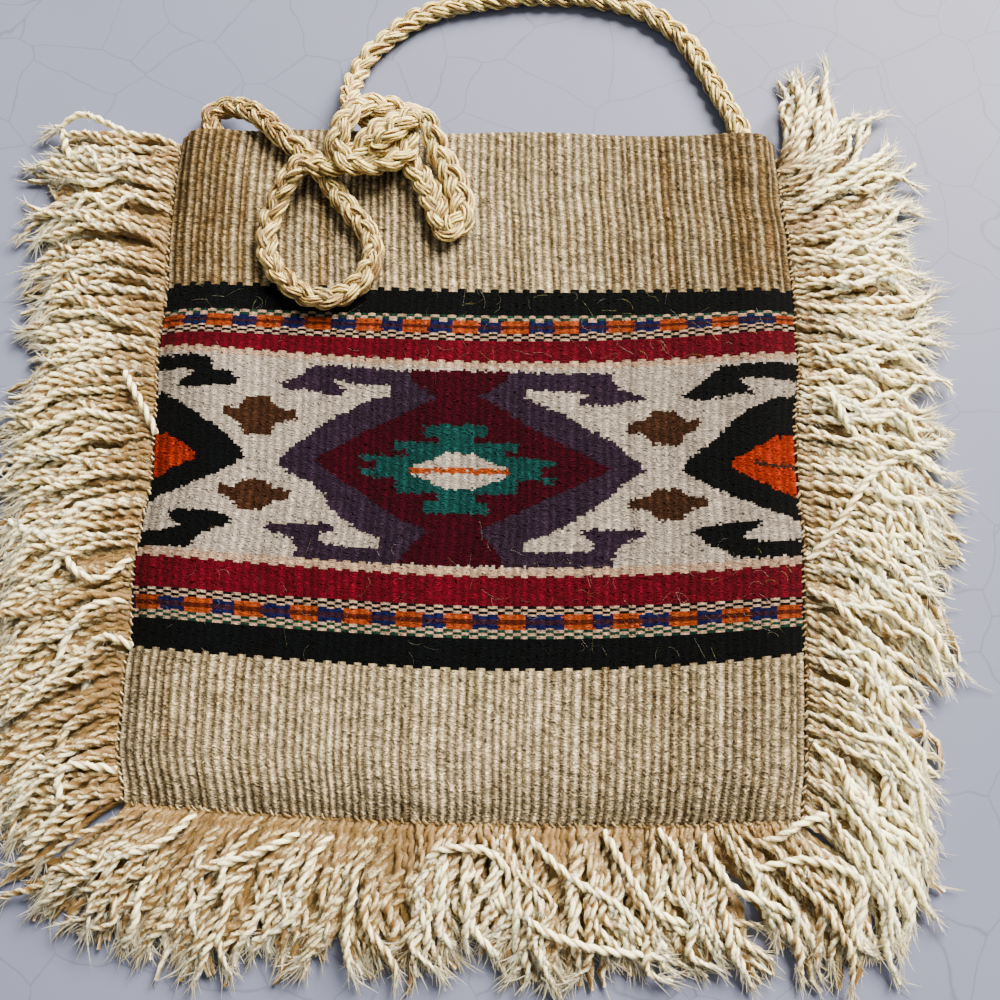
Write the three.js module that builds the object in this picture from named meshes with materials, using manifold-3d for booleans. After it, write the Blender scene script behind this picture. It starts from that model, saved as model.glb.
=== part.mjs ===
// A woven wool shoulder bag with a fringe on three sides, lying on its back.
// Millimetres. +X is the bag's right, +Y points to its mouth and +Z is up, off the surface it lies on.
// The origin is the middle of the back panel's resting face.

import * as THREE from 'three';
import { mergeVertices } from 'three/addons/utils/BufferGeometryUtils.js';
import Module from 'manifold-3d';

const wasm = await Module();
wasm.setup();

// Cloth of the two panels
const CLOTH = 2.6; // thickness of the weft-faced woollen cloth
const GAP = 0.3; // clearance between pieces that touch
const MOUTH_Y = 153; // the mouth's edge
const MOUTH_WAVE = 0.8; // how far that edge wanders
const MOUTH_WAVE_LENGTH = 96; // from one crest of that edge to the next
const BOTTOM_Y = -159; // the bottom seam at its lowest, in the middle
const BOTTOM_LIFT = 4.5; // how much higher the bottom seam is at its two ends
const HALF_WIDTH = 140; // nominal half width, on which the bottom seam's curve is laid
const OUTLINE_STEPS = 14; // steps along each side of the panels' outline
const WELD = 1e-4; // corners of a mesh that are closer than this are one corner

// The two side seams wander a little, as sewn
const SEAMS = [
  { y: -160, left: -138, right: 136.5 },
  { y: -152, left: -140.2, right: 139.5 },
  { y: -130, left: -144.3, right: 142 },
  { y: -100, left: -145, right: 143.2 },
  { y: -86, left: -143.8, right: 143.4 },
  { y: -55, left: -145.8, right: 144.2 },
  { y: -38, left: -144, right: 144.8 },
  { y: -18, left: -142, right: 143.4 },
  { y: 10, left: -143, right: 143 },
  { y: 45, left: -145, right: 145.8 },
  { y: 70, left: -143.8, right: 145.2 },
  { y: 100, left: -145.6, right: 143.8 },
  { y: 125, left: -145.6, right: 141 },
  { y: 160, left: -143.6, right: 138.8 },
];

// Shape of the pocket, the space between the panels
const POCKET = 6.4; // height of the empty pocket
const SEAM_RISE = 26; // distance from a seam over which the front rises to that height
const SEAM_ROUND = 2.5; // power of that rise
const CORNER_RISE = 9; // the same distance at the mouth's corners, which the strap holds open
const CORNER_ROUND = 3;
const CORNER_REACH = 45; // how far down from the mouth the corners stay open
const FRONT_INSET = 2.5; // the front's inner edge lies inside the seam by this much

// Low swells of the front, which run down from the mouth: the first and last lie over the strap's ends
const SWELLS = [
  { x: -126, width: 11, rise: 2.4, reach: 34 },
  { x: 58, width: 30, rise: 0.8, reach: 200 },
  { x: 123, width: 13, rise: 2.2, reach: 40 },
];

// Where the front's mesh lines lie, as distances from the nearer side seam and from the bottom seam
const COLUMN_DISTANCES = [0, 2, 4, 6.5, 9.5, 14, 20, 28, 42, 62, 86, 112];
const ROW_DISTANCES = [0, 3, 7, 12, 18, 26, 60, 105, 150, 195, 235, 262, 280, 294, 304];

// Fringe
const HEADING_WIDTH = 4; // the sewn heading that holds the yarns
const HEADING_HEIGHT = 5.4;
const HEADING_STEPS = 14;
const LEFT_TOP = 148; // the left fringe starts this high
const RIGHT_TOP = 143; // and the right one here
const SIDE_BOTTOM = -153; // both end here
const BOTTOM_END = 136; // the bottom fringe ends this far from the middle
const ROOT_OFFSET = 2.5; // a lock's root lies this far outside the seam, in the heading
const LOCK_SIDES = 6;
const LOCK_WIDTH = 18; // of a lock at its widest
const LOCK_HEIGHT = 11; // of a lock at its thickest
const TIP_HEIGHT = 2.75; // of a lock's point
const KEEP_OUT_TOP = 33; // height up to which the fringes are kept clear of the panels
const CORNER_CUT = 400; // size of the block that keeps two fringes apart at a corner

// A lock's section along its length, as shares of its width and height
const LOCK_STATIONS = [
  { along: 0.0, width: 0.95, height: 0.5 },
  { along: 0.4, width: 1.05, height: 1.0 },
  { along: 0.75, width: 0.85, height: 0.95 },
  { along: 0.94, width: 0.46, height: 0.6 },
];

// Locks of each fringe: root is y on a side seam and x on the bottom seam, x and y are the tip,
// and bow is how far the middle swings to the left of the straight line from root to tip
const LEFT_LOCKS = [
  { root: 140, x: -211, y: 145, bow: -2 },
  { root: 133, x: -205, y: 138, bow: -2 },
  { root: 125, x: -217, y: 129, bow: 2 },
  { root: 117, x: -208, y: 116, bow: -4 },
  { root: 106, x: -215, y: 104, bow: -5 },
  { root: 95, x: -203, y: 93, bow: -5 },
  { root: 83, x: -213, y: 80, bow: -4 },
  { root: 71, x: -211, y: 67, bow: -4 },
  { root: 59, x: -210, y: 51, bow: -5 },
  { root: 46, x: -206, y: 36, bow: -5 },
  { root: 33, x: -211, y: 19, bow: -4 },
  { root: 20, x: -214, y: 3, bow: -4 },
  { root: 6, x: -212, y: -14, bow: -5 },
  { root: -8, x: -214, y: -31, bow: -4 },
  { root: -22, x: -211, y: -49, bow: -5 },
  { root: -36, x: -212, y: -66, bow: -4 },
  { root: -50, x: -209, y: -84, bow: -5 },
  { root: -64, x: -210, y: -100, bow: -5 },
  { root: -78, x: -207, y: -116, bow: -4 },
  { root: -92, x: -205, y: -131, bow: -5 },
  { root: -106, x: -203, y: -145, bow: -4 },
  { root: -120, x: -199, y: -156, bow: -4 },
  { root: -134, x: -193, y: -167, bow: -3 },
  { root: -146, x: -185, y: -175, bow: -2 },
];
const RIGHT_LOCKS = [
  { root: 139, x: 151, y: 193, bow: -5 },
  { root: 133, x: 167, y: 194, bow: -6 },
  { root: 126, x: 183, y: 175, bow: -3 },
  { root: 116, x: 202, y: 143, bow: 3 },
  { root: 105, x: 204, y: 126, bow: -2 },
  { root: 94, x: 200, y: 107, bow: -3 },
  { root: 82, x: 206, y: 88, bow: 3 },
  { root: 70, x: 214, y: 80, bow: -4 },
  { root: 57, x: 209, y: 61, bow: -5 },
  { root: 44, x: 207, y: 40, bow: 2 },
  { root: 32, x: 184, y: 27, bow: 2 },
  { root: 19, x: 211, y: 7, bow: 3 },
  { root: 5, x: 212, y: -20, bow: 5 },
  { root: -10, x: 216, y: -40, bow: 6 },
  { root: -26, x: 207, y: -56, bow: 4 },
  { root: -42, x: 204, y: -77, bow: 6 },
  { root: -57, x: 208, y: -92, bow: 5 },
  { root: -71, x: 190, y: -107, bow: 4 },
  { root: -85, x: 185, y: -124, bow: 5 },
  { root: -99, x: 196, y: -141, bow: 6 },
  { root: -113, x: 193, y: -160, bow: 7 },
  { root: -127, x: 194, y: -179, bow: 6 },
  { root: -140, x: 183, y: -194, bow: 7 },
  { root: -149, x: 178, y: -204, bow: 5 },
];
const BOTTOM_LOCKS = [
  { root: -133, x: -177, y: -192, bow: 2 },
  { root: -124, x: -166, y: -202, bow: -3 },
  { root: -113, x: -150, y: -211, bow: -4 },
  { root: -102, x: -133, y: -213, bow: -5 },
  { root: -91, x: -119, y: -214, bow: -5 },
  { root: -80, x: -108, y: -223, bow: -6 },
  { root: -68, x: -96, y: -223, bow: -5 },
  { root: -56, x: -75, y: -216, bow: -4 },
  { root: -44, x: -61, y: -217, bow: -5 },
  { root: -33, x: -34, y: -219, bow: -7 },
  { root: -22, x: -22, y: -221, bow: -6 },
  { root: -11, x: -10, y: -221, bow: -5 },
  { root: 0, x: 3, y: -208, bow: -3 },
  { root: 11, x: 16, y: -209, bow: 3 },
  { root: 22, x: 25, y: -218, bow: 4 },
  { root: 34, x: 37, y: -221, bow: -3 },
  { root: 46, x: 51, y: -220, bow: 3 },
  { root: 58, x: 73, y: -216, bow: -5 },
  { root: 70, x: 86, y: -209, bow: -4 },
  { root: 82, x: 102, y: -214, bow: -6 },
  { root: 94, x: 121, y: -213, bow: -7 },
  { root: 106, x: 137, y: -208, bow: 7 },
  { root: 117, x: 152, y: -218, bow: 9 },
  { root: 128, x: 164, y: -209, bow: 8 },
];

// Lines from the two lower corners along which the side fringes meet the bottom fringe
const LEFT_CORNER = { x: -140, y: -156.5, towardX: -181, towardY: -184 };
const RIGHT_CORNER = { x: 138.5, y: -157, towardX: 170, towardY: -207 };

// Strap: a flat three-strand braid
const STRAP_WIDTH = 9.8;
const STRAP_THICKNESS = 7;
const STRAP_SIDES = 8;
const KNOT_STEPS = 4; // steps along each turn of the knot

// Route of the strap as points on its centre line, from the mouth's left corner to its right corner
const LOOP_ROUTE = [
  [-125.5, 143, 6.4], [-127, 152, 6.4], [-130.5, 160, 6.3], [-127.6, 165, 6.8], [-119, 165.6, 8.8],
  [-109, 160.5, 13.8], [-99, 152, 16.6], [-91.5, 145, 16.2], [-84, 139.5, 15.9], [-77.5, 133.5, 15.9],
  [-72, 127, 15.9], [-66, 118.5, 15.9], [-59.5, 109.8, 15.9], [-52, 101, 15.9], [-47.4, 91.5, 15.9],
  [-47.8, 82.5, 15.9], [-51.8, 73.8, 15.9], [-59.3, 67.2, 15.9], [-68.3, 65, 15.9], [-77.3, 67.2, 15.9],
  [-86, 73.9, 15.9], [-92.8, 82.9, 15.9], [-95.8, 93, 15.9], [-94.8, 103, 16], [-91.4, 112.4, 18],
  [-87, 120.5, 21.4], [-82, 126, 23.6], [-75.5, 127.4, 22.8], [-69, 127.5, 21],
];
// The knot's turns, in the order in which the strap makes them
const WRAP_ROUTES = {
  centre: [
    [-69, 127.5, 21], [-61.5, 131, 20.4], [-54, 136, 22.8], [-48, 141.6, 25], [-42.5, 147, 24.4],
  ],
  top: [
    [-42.5, 147, 24.4], [-35, 151, 21.2], [-31.8, 156, 18.4], [-40.5, 159.2, 18.8], [-53.5, 158, 23],
  ],
  left: [
    [-53.5, 158, 23], [-59, 151.6, 26.4], [-63, 142.6, 27.4], [-64.6, 134.4, 25.6], [-60.4, 129.2, 23.4],
  ],
  lower: [
    [-60.4, 129.2, 23.4], [-53, 128.2, 22.4], [-45.5, 129, 22.4], [-38.6, 131.6, 22.4], [-33.4, 136.6, 21],
  ],
  inner: [
    [-33.4, 136.6, 21], [-32.8, 143.8, 20], [-38.6, 146.8, 19.6], [-45, 142.4, 20.8], [-46, 136, 24.6],
  ],
  right: [
    [-46, 136, 24.6], [-42, 138.8, 27.4], [-35.6, 146, 28], [-29, 152.2, 26], [-24, 149, 23.2],
  ],
};
const BIGHT_ROUTE = [
  [-24, 149, 23.2], [-20.6, 141, 20.4], [-15.8, 131.6, 17.4], [-10.8, 122, 16], [-7.6, 113.2, 15.9],
  [-7.6, 104.6, 15.9], [-12.2, 98.8, 15.9], [-17, 102.8, 15.9], [-19.6, 111.2, 15.9],
  [-24, 121, 15.9], [-30.2, 130.4, 15.9], [-37, 137.4, 15.9],
];
const UNDER_ROUTE = [
  [-37, 137.4, 15.9], [-42.6, 146, 15.9], [-48.6, 153, 15.9], [-55, 157, 15.9], [-60.4, 160, 15.9],
];
const ARCH_ROUTE = [
  [-60.4, 160, 15.9], [-62, 164.6, 15], [-62.6, 170, 12.2], [-63, 177.4, 8], [-61.4, 188, 4.6],
  [-55.6, 199.4, 3.8], [-47, 208.8, 3.6], [-38.4, 216.4, 3.6], [-28, 222.6, 3.6], [-14, 227.4, 3.6],
  [4, 231, 3.6], [24, 233.4, 3.6], [44, 233, 3.6], [62, 230, 3.6], [76.5, 225.4, 3.6],
  [88, 218, 3.6], [97.6, 208.6, 3.6], [105, 196.4, 3.6], [112, 182, 3.7], [118.6, 168, 4.6],
  [122.8, 157.6, 6], [123.6, 149, 6.4], [122.4, 140, 6.4],
];
const LOOP_STEPS = 34;
const BIGHT_STEPS = 15;
const ARCH_STEPS = 30;

// Smooth step from 0 to 1
function ease(t) {
  const s = Math.min(Math.max(t, 0), 1);
  return s * s * (3 - 2 * s);
}

// Reads one column of a table whose rows are sorted by y, easing from row to row
function seamAt(side, y) {
  const above = SEAMS.findIndex((row) => row.y >= y);
  const high = SEAMS[above < 1 ? 1 : above];
  const low = SEAMS[(above < 1 ? 1 : above) - 1];
  return low[side] + (high[side] - low[side]) * ease((y - low.y) / (high.y - low.y));
}

function bottomAt(x) {
  return BOTTOM_Y + BOTTOM_LIFT * (x / HALF_WIDTH) ** 2;
}

function mouthAt(x) {
  return MOUTH_Y + MOUTH_WAVE * Math.sin((2 * Math.PI * x) / MOUTH_WAVE_LENGTH);
}

// The bag's outline as a closed list of points, grown outwards by a margin
function outlinePoints(margin, steps) {
  const points = [];
  for (let i = 0; i <= steps; i += 1) {
    const y = THREE.MathUtils.lerp(bottomAt(HALF_WIDTH), MOUTH_Y, i / steps);
    points.push(new THREE.Vector2(seamAt('right', y) + margin, y + margin * (i === steps ? 1 : 0)));
  }
  for (let i = 1; i < steps; i += 1) {
    const x = THREE.MathUtils.lerp(seamAt('right', MOUTH_Y), seamAt('left', MOUTH_Y), i / steps);
    points.push(new THREE.Vector2(x, mouthAt(x) + margin));
  }
  for (let i = 0; i <= steps; i += 1) {
    const y = THREE.MathUtils.lerp(MOUTH_Y, bottomAt(HALF_WIDTH), i / steps);
    points.push(new THREE.Vector2(seamAt('left', y) - margin, y + margin * (i === 0 ? 1 : 0)));
  }
  for (let i = 1; i < steps; i += 1) {
    const x = THREE.MathUtils.lerp(-HALF_WIDTH, HALF_WIDTH, i / steps);
    points.push(new THREE.Vector2(x, bottomAt(x) - margin));
  }
  return points;
}

// A flat plate with the given outline, from one height to another
function plate(points, bottom, top) {
  const geometry = new THREE.ExtrudeGeometry(new THREE.Shape(points), {
    depth: top - bottom,
    bevelEnabled: false,
  });
  return geometry.translate(0, 0, bottom);
}

// Joins a list of triangles, given by their corners, into one indexed geometry
function geometryOf(positions, indices) {
  const geometry = new THREE.BufferGeometry();
  geometry.setAttribute('position', new THREE.Float32BufferAttribute(positions, 3));
  geometry.setIndex(indices);
  return geometry;
}

// Height of the pocket over a point of the front
function pocketHeight(x, y) {
  const sideDistance = Math.min(x - seamAt('left', y), seamAt('right', y) - x) - FRONT_INSET;
  const bottomDistance = y - bottomAt(x) - FRONT_INSET;
  const open = ease(1 - (MOUTH_Y - y) / CORNER_REACH);
  const reach = THREE.MathUtils.lerp(SEAM_RISE, CORNER_RISE, open);
  const round = THREE.MathUtils.lerp(SEAM_ROUND, CORNER_ROUND, open);
  const side = 1 - (1 - Math.min(Math.max(sideDistance / reach, 0), 1)) ** round;
  const bottom = 1 - (1 - Math.min(Math.max(bottomDistance / SEAM_RISE, 0), 1)) ** SEAM_ROUND;
  let swell = 0;
  for (const row of SWELLS) {
    swell += row.rise * Math.exp(-(((x - row.x) / row.width) ** 2)) * ease(1 - (MOUTH_Y - y) / row.reach);
  }
  return (POCKET + swell) * side * bottom;
}

// The front panel: one cloth thickness over the pocket's surface
function frontPanel() {
  const half = COLUMN_DISTANCES.length;
  const columns = 2 * half;
  const rows = ROW_DISTANCES.length + 1;
  const inner = [];
  for (let j = 0; j < rows; j += 1) {
    for (let i = 0; i < columns; i += 1) {
      const mirror = i >= half;
      const distance = COLUMN_DISTANCES[mirror ? columns - 1 - i : i] + FRONT_INSET;
      const guessX = (mirror ? 1 : -1) * (HALF_WIDTH - distance);
      const top = mouthAt(guessX);
      const y = j === rows - 1 ? top : bottomAt(guessX) + FRONT_INSET + ROW_DISTANCES[j];
      const x = mirror ? seamAt('right', y) - distance : seamAt('left', y) + distance;
      inner.push(new THREE.Vector3(x, y, CLOTH + GAP + pocketHeight(x, y)));
    }
  }
  const at = (i, j) => inner[j * columns + i];
  const outer = inner.map((point, index) => {
    const i = index % columns;
    const j = Math.floor(index / columns);
    const alongX = at(Math.min(i + 1, columns - 1), j).clone().sub(at(Math.max(i - 1, 0), j));
    const alongY = at(i, Math.min(j + 1, rows - 1)).clone().sub(at(i, Math.max(j - 1, 0)));
    const normal = alongX.cross(alongY).normalize();
    normal.y = j === rows - 1 ? 0 : normal.y;
    return point.clone().addScaledVector(normal.normalize(), CLOTH);
  });
  const positions = [...inner, ...outer].flatMap((point) => point.toArray());
  const lift = inner.length;
  const indices = [];
  const quad = (a, b, c, d) => indices.push(a, b, c, a, c, d);
  for (let j = 0; j < rows - 1; j += 1) {
    for (let i = 0; i < columns - 1; i += 1) {
      const a = j * columns + i;
      quad(a, a + columns, a + columns + 1, a + 1);
      quad(lift + a, lift + a + 1, lift + a + columns + 1, lift + a + columns);
    }
  }
  const last = (rows - 1) * columns;
  for (let i = 0; i < columns - 1; i += 1) {
    quad(i, i + 1, lift + i + 1, lift + i);
    quad(last + i + 1, last + i, lift + last + i, lift + last + i + 1);
  }
  for (let j = 0; j < rows - 1; j += 1) {
    const a = j * columns;
    const b = a + columns - 1;
    quad(a + columns, a, lift + a, lift + a + columns);
    quad(b, b + columns, lift + b + columns, lift + b);
  }
  return geometryOf(positions, indices);
}

// Turns a closed geometry into a solid that can be joined and cut
function solidOf(geometry) {
  const bare = geometry.clone();
  bare.deleteAttribute('normal');
  bare.deleteAttribute('uv');
  const merged = mergeVertices(bare, WELD);
  return new wasm.Manifold(new wasm.Mesh({
    numProp: 3,
    vertProperties: new Float32Array(merged.attributes.position.array),
    triVerts: new Uint32Array(merged.index.array),
  }));
}

function geometryOfSolid(solid) {
  const mesh = solid.getMesh();
  return geometryOf(Array.from(mesh.vertProperties), Array.from(mesh.triVerts));
}

function joined(solids) {
  return solids.reduce((sum, solid) => sum.add(solid));
}

// One lock of yarns: rings of points along a bowed line, closed by a flat root and a pointed tip
function lock(root, row) {
  const start = new THREE.Vector2(root.x, root.y);
  const tip = new THREE.Vector2(row.x, row.y);
  const line = tip.clone().sub(start);
  const left = new THREE.Vector2(-line.y, line.x).normalize();
  const middle = start.clone().add(tip).multiplyScalar(0.5).addScaledVector(left, 2 * row.bow);
  const curve = new THREE.QuadraticBezierCurve(start, middle, tip);
  const positions = [];
  const indices = [];
  for (const station of LOCK_STATIONS) {
    const centre = curve.getPoint(station.along);
    const tangent = curve.getTangent(station.along);
    const halfWidth = (LOCK_WIDTH * station.width) / 2;
    const halfHeight = (LOCK_HEIGHT * station.height) / 2;
    for (let k = 0; k < LOCK_SIDES; k += 1) {
      const angle = (2 * Math.PI * k) / LOCK_SIDES;
      const across = halfWidth * Math.cos(angle);
      const up = halfHeight * (1 + Math.sin(angle) / Math.sin(Math.PI / 3));
      positions.push(centre.x - tangent.y * across, centre.y + tangent.x * across, up);
    }
  }
  const rings = LOCK_STATIONS.length;
  for (let ring = 0; ring < rings - 1; ring += 1) {
    for (let k = 0; k < LOCK_SIDES; k += 1) {
      const a = ring * LOCK_SIDES + k;
      const b = ring * LOCK_SIDES + ((k + 1) % LOCK_SIDES);
      indices.push(a, b, b + LOCK_SIDES, a, b + LOCK_SIDES, a + LOCK_SIDES);
    }
  }
  const tipIndex = positions.length / 3;
  positions.push(tip.x, tip.y, TIP_HEIGHT);
  for (let k = 0; k < LOCK_SIDES; k += 1) {
    const last = (rings - 1) * LOCK_SIDES;
    indices.push(last + k, last + ((k + 1) % LOCK_SIDES), tipIndex);
  }
  for (let k = 1; k < LOCK_SIDES - 1; k += 1) {
    indices.push(0, k + 1, k);
  }
  return solidOf(geometryOf(positions, indices));
}

// The sewn heading of one fringe: a strip outside its seam
function heading(pointAt, outward) {
  const near = [];
  const far = [];
  for (let i = 0; i <= HEADING_STEPS; i += 1) {
    const point = pointAt(i / HEADING_STEPS);
    near.push(point.clone().addScaledVector(outward, GAP / 2));
    far.push(point.clone().addScaledVector(outward, HEADING_WIDTH));
  }
  const points = [...near, ...far.reverse()];
  const turned = THREE.ShapeUtils.isClockWise(points) ? points.reverse() : points;
  return solidOf(plate(turned, 0, HEADING_HEIGHT));
}

// A block whose one face stands on a corner's line, on the side given by its sign
function cornerBlock(corner, sign) {
  const angle = Math.atan2(corner.towardY - corner.y, corner.towardX - corner.x);
  const block = new THREE.BoxGeometry(CORNER_CUT, CORNER_CUT, CORNER_CUT);
  block.translate(0, sign * (CORNER_CUT / 2 - GAP / 2), 0);
  block.rotateZ(angle);
  block.translate(corner.x, corner.y, 0);
  return solidOf(block);
}

// A whole fringe: its locks joined to its heading, kept clear of the panels and of the next fringe
function fringe(rows, rootOf, pointAt, outward, blocks) {
  const locks = rows.map((row) => lock(rootOf(row.root), row));
  const keepOut = solidOf(plate(outlinePoints(GAP, OUTLINE_STEPS), -CLOTH, KEEP_OUT_TOP));
  const whole = joined([heading(pointAt, outward), ...locks]).subtract(keepOut);
  return geometryOfSolid(blocks.reduce((solid, block) => solid.subtract(block), whole));
}

function leftFringe() {
  return fringe(
    LEFT_LOCKS,
    (y) => new THREE.Vector2(seamAt('left', y) - ROOT_OFFSET, y),
    (t) => {
      const y = THREE.MathUtils.lerp(LEFT_TOP, SIDE_BOTTOM, t);
      return new THREE.Vector2(seamAt('left', y), y);
    },
    new THREE.Vector2(-1, 0),
    [cornerBlock(LEFT_CORNER, 1)],
  );
}

function rightFringe() {
  return fringe(
    RIGHT_LOCKS,
    (y) => new THREE.Vector2(seamAt('right', y) + ROOT_OFFSET, y),
    (t) => {
      const y = THREE.MathUtils.lerp(RIGHT_TOP, SIDE_BOTTOM, t);
      return new THREE.Vector2(seamAt('right', y), y);
    },
    new THREE.Vector2(1, 0),
    [cornerBlock(RIGHT_CORNER, -1)],
  );
}

function bottomFringe() {
  return fringe(
    BOTTOM_LOCKS,
    (x) => new THREE.Vector2(x, bottomAt(x) - ROOT_OFFSET),
    (t) => {
      const x = THREE.MathUtils.lerp(-BOTTOM_END, BOTTOM_END, t);
      return new THREE.Vector2(x, bottomAt(x));
    },
    new THREE.Vector2(0, -1),
    [cornerBlock(LEFT_CORNER, -1), cornerBlock(RIGHT_CORNER, 1)],
  );
}

// A length of strap with an oval section, thinner across the line of the surface it lies on
function strap(route, sides, steps, grow) {
  const curve = new THREE.CatmullRomCurve3(route.map((point) => new THREE.Vector3(...point)));
  const section = [];
  for (let k = 0; k < sides; k += 1) {
    const angle = (2 * Math.PI * k) / sides;
    const up = (STRAP_THICKNESS / 2 + grow) * Math.cos(angle);
    const across = (STRAP_WIDTH / 2 + grow) * Math.sin(angle);
    section.push(new THREE.Vector2(up, across));
  }
  return new THREE.ExtrudeGeometry(new THREE.Shape(section), {
    steps,
    bevelEnabled: false,
    extrudePath: curve,
  });
}

// The knot: its turns of strap joined, with a seat for each free stretch that goes into it
function knot() {
  const turn = (route, grow) => solidOf(strap(route, STRAP_SIDES, KNOT_STEPS, grow));
  const turns = Object.values(WRAP_ROUTES).map((route) => turn(route, GAP));
  const whole = joined([...turns, turn(UNDER_ROUTE, 0)]);
  const seats = [
    strap(LOOP_ROUTE, STRAP_SIDES, LOOP_STEPS, GAP),
    strap(BIGHT_ROUTE, STRAP_SIDES, BIGHT_STEPS, GAP),
    strap(ARCH_ROUTE, STRAP_SIDES, ARCH_STEPS, GAP),
  ];
  return geometryOfSolid(seats.reduce((solid, seat) => solid.subtract(solidOf(seat)), whole));
}

const cloth = new THREE.MeshStandardMaterial({ color: '#c9b288', roughness: 0.95, metalness: 0 });
const backCloth = new THREE.MeshStandardMaterial({ color: '#bda678', roughness: 0.95, metalness: 0 });
const fringeYarn = new THREE.MeshStandardMaterial({ color: '#e3d8b4', roughness: 0.9, metalness: 0 });
const braid = new THREE.MeshStandardMaterial({ color: '#d8c294', roughness: 0.9, metalness: 0 });

const bag = new THREE.Group();

function addPiece(name, geometry, material) {
  const mesh = new THREE.Mesh(geometry, material);
  mesh.name = name;
  bag.add(mesh);
}

addPiece('back_panel', plate(outlinePoints(0, OUTLINE_STEPS), 0, CLOTH), backCloth);
addPiece('front_panel', frontPanel(), cloth);
addPiece('fringe_left', leftFringe(), fringeYarn);
addPiece('fringe_right', rightFringe(), fringeYarn);
addPiece('fringe_bottom', bottomFringe(), fringeYarn);
addPiece('strap_loop', strap(LOOP_ROUTE, STRAP_SIDES, LOOP_STEPS, 0), braid);
addPiece('strap_knot', knot(), braid);
addPiece('strap_bight', strap(BIGHT_ROUTE, STRAP_SIDES, BIGHT_STEPS, 0), braid);
addPiece('strap_arch', strap(ARCH_ROUTE, STRAP_SIDES, ARCH_STEPS, 0), braid);

export default bag;
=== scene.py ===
import math

import bmesh
import bpy
import numpy as np
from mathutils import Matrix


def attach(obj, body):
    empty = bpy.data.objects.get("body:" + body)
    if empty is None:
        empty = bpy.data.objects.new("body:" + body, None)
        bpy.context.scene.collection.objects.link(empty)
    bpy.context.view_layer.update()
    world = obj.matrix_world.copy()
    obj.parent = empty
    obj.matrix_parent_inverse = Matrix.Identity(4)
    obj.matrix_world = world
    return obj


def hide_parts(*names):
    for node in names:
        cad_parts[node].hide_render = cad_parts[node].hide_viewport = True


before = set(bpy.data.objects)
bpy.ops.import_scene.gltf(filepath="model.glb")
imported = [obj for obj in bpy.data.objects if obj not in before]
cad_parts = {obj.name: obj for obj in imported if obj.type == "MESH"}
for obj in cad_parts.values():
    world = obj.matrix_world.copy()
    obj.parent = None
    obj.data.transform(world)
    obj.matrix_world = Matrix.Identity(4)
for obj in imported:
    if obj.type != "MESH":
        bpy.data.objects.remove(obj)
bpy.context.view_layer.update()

# Back panel
# One piece of handwoven woollen cloth, a weft-faced rep whose hidden warp bundles make it ribbed.
# It lies flat on the surface, and the front and the fringes are sewn to its sides and bottom.
MM = 0.001
CLOTH = 2.6
GAP = 0.3
MOUTH_Y = 153
MOUTH_WAVE = 0.8
MOUTH_WAVE_LENGTH = 96
MOUTH_WAVE_REACH = 40
BOTTOM_Y = -159
HALF_WIDTH = 140
SEAMS = [
    dict(y=-160, left=-138, right=136.5),
    dict(y=-152, left=-140.2, right=139.5),
    dict(y=-130, left=-144.3, right=142),
    dict(y=-100, left=-145, right=143.2),
    dict(y=-86, left=-143.8, right=143.4),
    dict(y=-55, left=-145.8, right=144.2),
    dict(y=-38, left=-144, right=144.8),
    dict(y=-18, left=-142, right=143.4),
    dict(y=10, left=-143, right=143),
    dict(y=45, left=-145, right=145.8),
    dict(y=70, left=-143.8, right=145.2),
    dict(y=100, left=-145.6, right=143.8),
    dict(y=125, left=-145.6, right=141),
    dict(y=160, left=-143.6, right=138.8),
]
# How much higher a weft line lies at each side than in the middle, by its height in the middle
WEFT_BOWS = [
    dict(v=-159, left=4.5, right=4.5),
    dict(v=-97, left=6.6, right=10.3),
    dict(v=-84, left=6.5, right=9.3),
    dict(v=-71, left=6.2, right=8.0),
    dict(v=-57, left=7.4, right=9.2),
    dict(v=37, left=7.4, right=9.2),
    dict(v=50, left=2.8, right=9.8),
    dict(v=62, left=1.8, right=6.4),
    dict(v=73, left=2.4, right=4.6),
    dict(v=153, left=0, right=0),
]
BOW_POWERS = dict(left=1.5, right=2.1)
RIBS = 78
RIB_HEIGHT = 1.1
# One rib's section: share of its width, and share of its height
RIB_SECTION = [
    dict(across=0.0, height=0.0),
    dict(across=1 / 3, height=1.0),
    dict(across=2 / 3, height=1.0),
]
RIB_CELLS = len(RIB_SECTION)
RIB_SPREAD = 0.13
BACK_LINES = 72
LINING_LINES = 6
PICK_PITCH = 0.95
CLOTH_SEED = 11


def ease(t):
    s = np.clip(t, 0, 1)
    return s * s * (3 - 2 * s)


def read_table(table, key, name, at):
    """One named column of a table, eased from row to row."""
    keys = np.array([row[key] for row in table], dtype=float)
    values = np.array([row[name] for row in table], dtype=float)
    low = np.clip(np.searchsorted(keys, at) - 1, 0, len(keys) - 2)
    t = ease((at - keys[low]) / (keys[low + 1] - keys[low]))
    return values[low] + (values[low + 1] - values[low]) * t


def seam(side, y):
    return read_table(SEAMS, "y", side, y)


def weft_line(x, v):
    """Height on the cloth of the weft that crosses the middle at v."""
    left = read_table(WEFT_BOWS, "v", "left", v) * (np.clip(-x, 0, None) / HALF_WIDTH) ** BOW_POWERS["left"]
    right = read_table(WEFT_BOWS, "v", "right", v) * (np.clip(x, 0, None) / HALF_WIDTH) ** BOW_POWERS["right"]
    wave = MOUTH_WAVE * np.sin(2 * np.pi * x / MOUTH_WAVE_LENGTH)
    return v + left + right + wave * ease(1 - (MOUTH_Y - v) / MOUTH_WAVE_REACH)


# The warp bundles were spaced by eye, so the ribs are not all of one width
rib_widths = 1 + np.random.default_rng(CLOTH_SEED).normal(0, RIB_SPREAD, RIBS)
RIB_EDGES = np.concatenate([[0], np.cumsum(rib_widths)]) / np.sum(rib_widths)


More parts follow.
